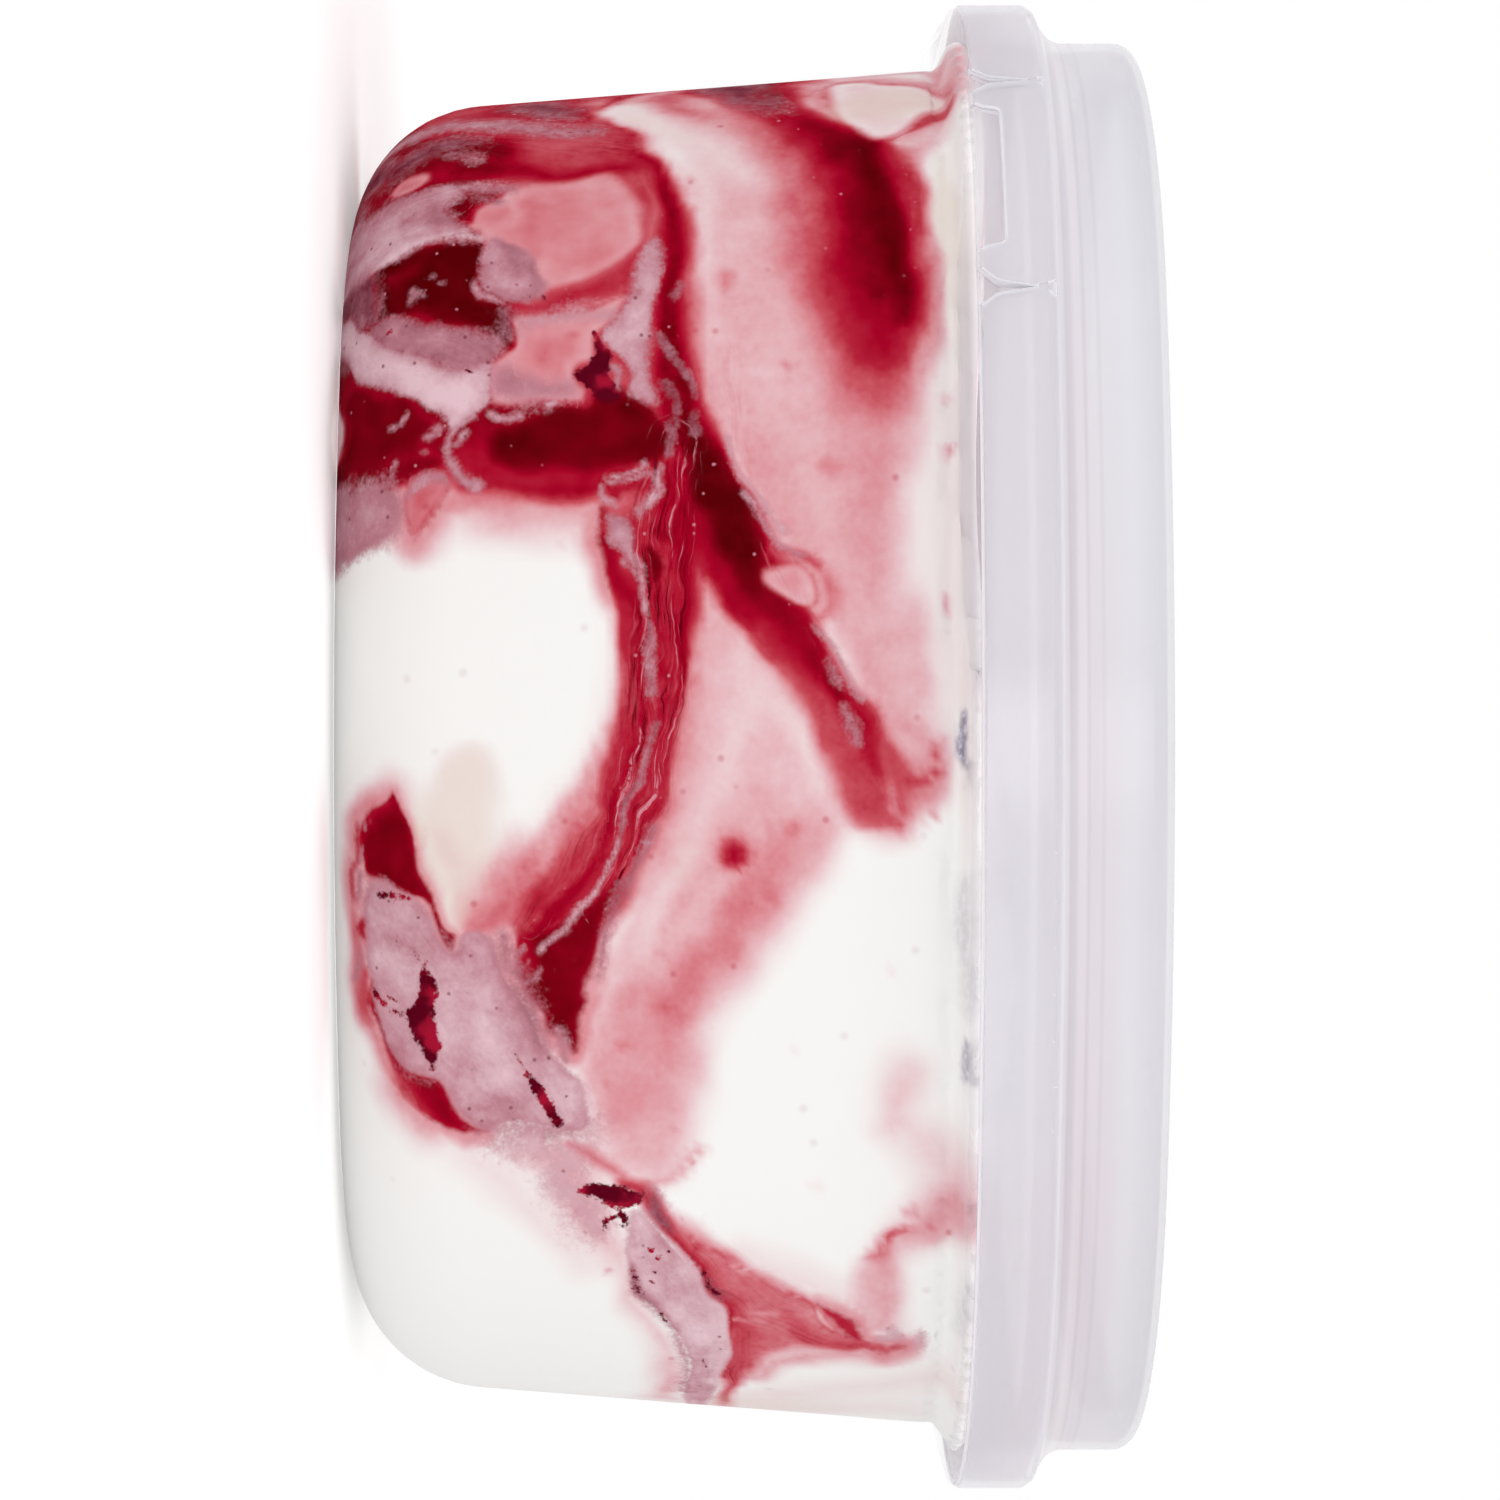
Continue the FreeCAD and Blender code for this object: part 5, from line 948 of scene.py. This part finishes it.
edges = lid.copy()
edges.data = lid.data.copy()
edges.name = edges.data.name = "lid_edge_beads"
bpy.context.scene.collection.objects.link(edges)
bpy.ops.object.select_all(action="DESELECT")
bpy.context.view_layer.objects.active = edges
edges.select_set(True)
bpy.ops.object.mode_set(mode="EDIT")
bpy.ops.mesh.select_mode(type="EDGE")
bpy.ops.mesh.select_all(action="SELECT")
bpy.ops.mesh.remove_doubles(threshold=1e-6)
bpy.ops.mesh.select_all(action="DESELECT")
bpy.ops.mesh.edges_select_sharp(sharpness=0.6)
bpy.ops.object.mode_set(mode="OBJECT")
foot_faces = {}
for face in edges.data.polygons:
    if face.normal.z < -0.99 and face.center.z < skirt_foot + level:
        for key in face.edge_keys:
            foot_faces[key] = foot_faces.get(key, 0) + 1
points = edges.data.vertices
for edge in edges.data.edges:
    one, two = (points[i].co.z for i in edge.vertices)
    bare = max(one, two) < skirt_foot + rounding or (one > bridge and abs(one - two) > upright)
    sharp = edge.select and one < skirt_top and not bare
    edge.select = not (sharp or foot_faces.get(edge.key) == 1)
bpy.ops.object.mode_set(mode="EDIT")
bpy.ops.mesh.delete(type="EDGE")
bpy.ops.mesh.select_all(action="SELECT")
bpy.ops.transform.resize(value=beads_in, center_override=(0, 0, 0))
bpy.ops.object.mode_set(mode="OBJECT")
for point in edges.data.vertices:
    if point.co.z < skirt_foot + rounding / 2:
        point.co.z -= foot_hang
bpy.ops.object.convert(target="CURVE")
edges.data.bevel_depth = bead_radius
edges.data.bevel_resolution = 1
bpy.ops.object.convert(target="MESH")
edges.name = edges.data.name = "lid_edge_beads"
# painted highlight: the beads' near-white plastic stands in for the light the edges gather
edge_highlight, m = material("painted edge highlight")
finish_with(edges, edge_highlight, plastic(m, paint(252, 251, 254), 0.3, paint(252, 251, 254), 0.4, 0.8))
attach(edges, "root")

# --- Floor, light and camera -------------------------------------------------
# A white studio sweep, evenly lit, which keeps only a soft shadow under the base. The
# camera lies on its side, so the tub that stands here is framed lying, lid to the right.

bpy.ops.object.select_all(action="DESELECT")
bpy.ops.mesh.primitive_plane_add(size=12)
floor = bpy.context.object
floor.name = "floor"
white, m = material("white studio floor")
seen, gloss = (m.node("LightPath", {}, {}, ray) for ray in ("Is Camera Ray", "Is Glossy Ray"))
shows = seen.maths("MAXIMUM", seen, gloss)
lit = m.node("BsdfDiffuse", {}, {"Color": (0.8, 0.8, 0.8, 1)})
glow = m.node("Emission", {}, {"Color": (1, 1, 1, 1), "Strength": shows * 0.16 + 0.2})
finish_with(floor, white, m.node("AddShader", {}, {0: lit, 1: glow}))

world = bpy.data.worlds.new("studio")
bpy.context.scene.world = world
world.use_nodes = True
world.node_tree.nodes.clear()
m = Shade(world.node_tree)
seen, gloss, passed = (m.node("LightPath", {}, {}, ray)
                       for ray in ("Is Camera Ray", "Is Glossy Ray", "Is Transmission Ray"))
shows = seen.maths("MAXIMUM", seen.maths("MAXIMUM", seen, gloss), passed)
sky = m.node("Background", {}, {"Color": (1, 1, 1, 1), "Strength": shows * 0.2 + 0.8})
m.node("OutputWorld", {}, {"Surface": sky})


def lamp(name, place, aim, size, power):
    """A square lamp facing its aim."""
    bpy.ops.object.light_add(type="AREA", location=place)
    made = bpy.context.object
    made.name = name
    made.data.size = size
    made.data.energy = power
    made.rotation_mode = "QUATERNION"
    made.rotation_quaternion = (Vector(place) - Vector(aim)).to_track_quat("Z", "Y")


lamp("top", (0.1, -0.3, 1.0), (0, 0, 0.04), 0.9, 1.42)
lamp("front", (-0.5, -0.9, 0.36), (0, 0, 0.03), 0.7, 1.05)
lamp("front right", (0.6, -0.8, 0.36), (0, 0, 0.03), 0.7, 0.72)
lamp("low front", (0.0, -0.9, 0.09), (0, 0, 0.0), 0.16, 0.5)

bpy.ops.object.camera_add(location=(0.0004, -0.475, 0.044))
camera = bpy.context.object
camera.name = "camera"
camera.rotation_mode = "QUATERNION"
camera.rotation_quaternion = Matrix(((0, -1, 0), (0, 0, -1), (1, 0, 0))).to_quaternion()
camera.data.sensor_width = 36
camera.data.lens = 93.4
camera.data.shift_x = 0.02
bpy.context.scene.camera = camera
bpy.context.scene.view_settings.view_transform = "Standard"
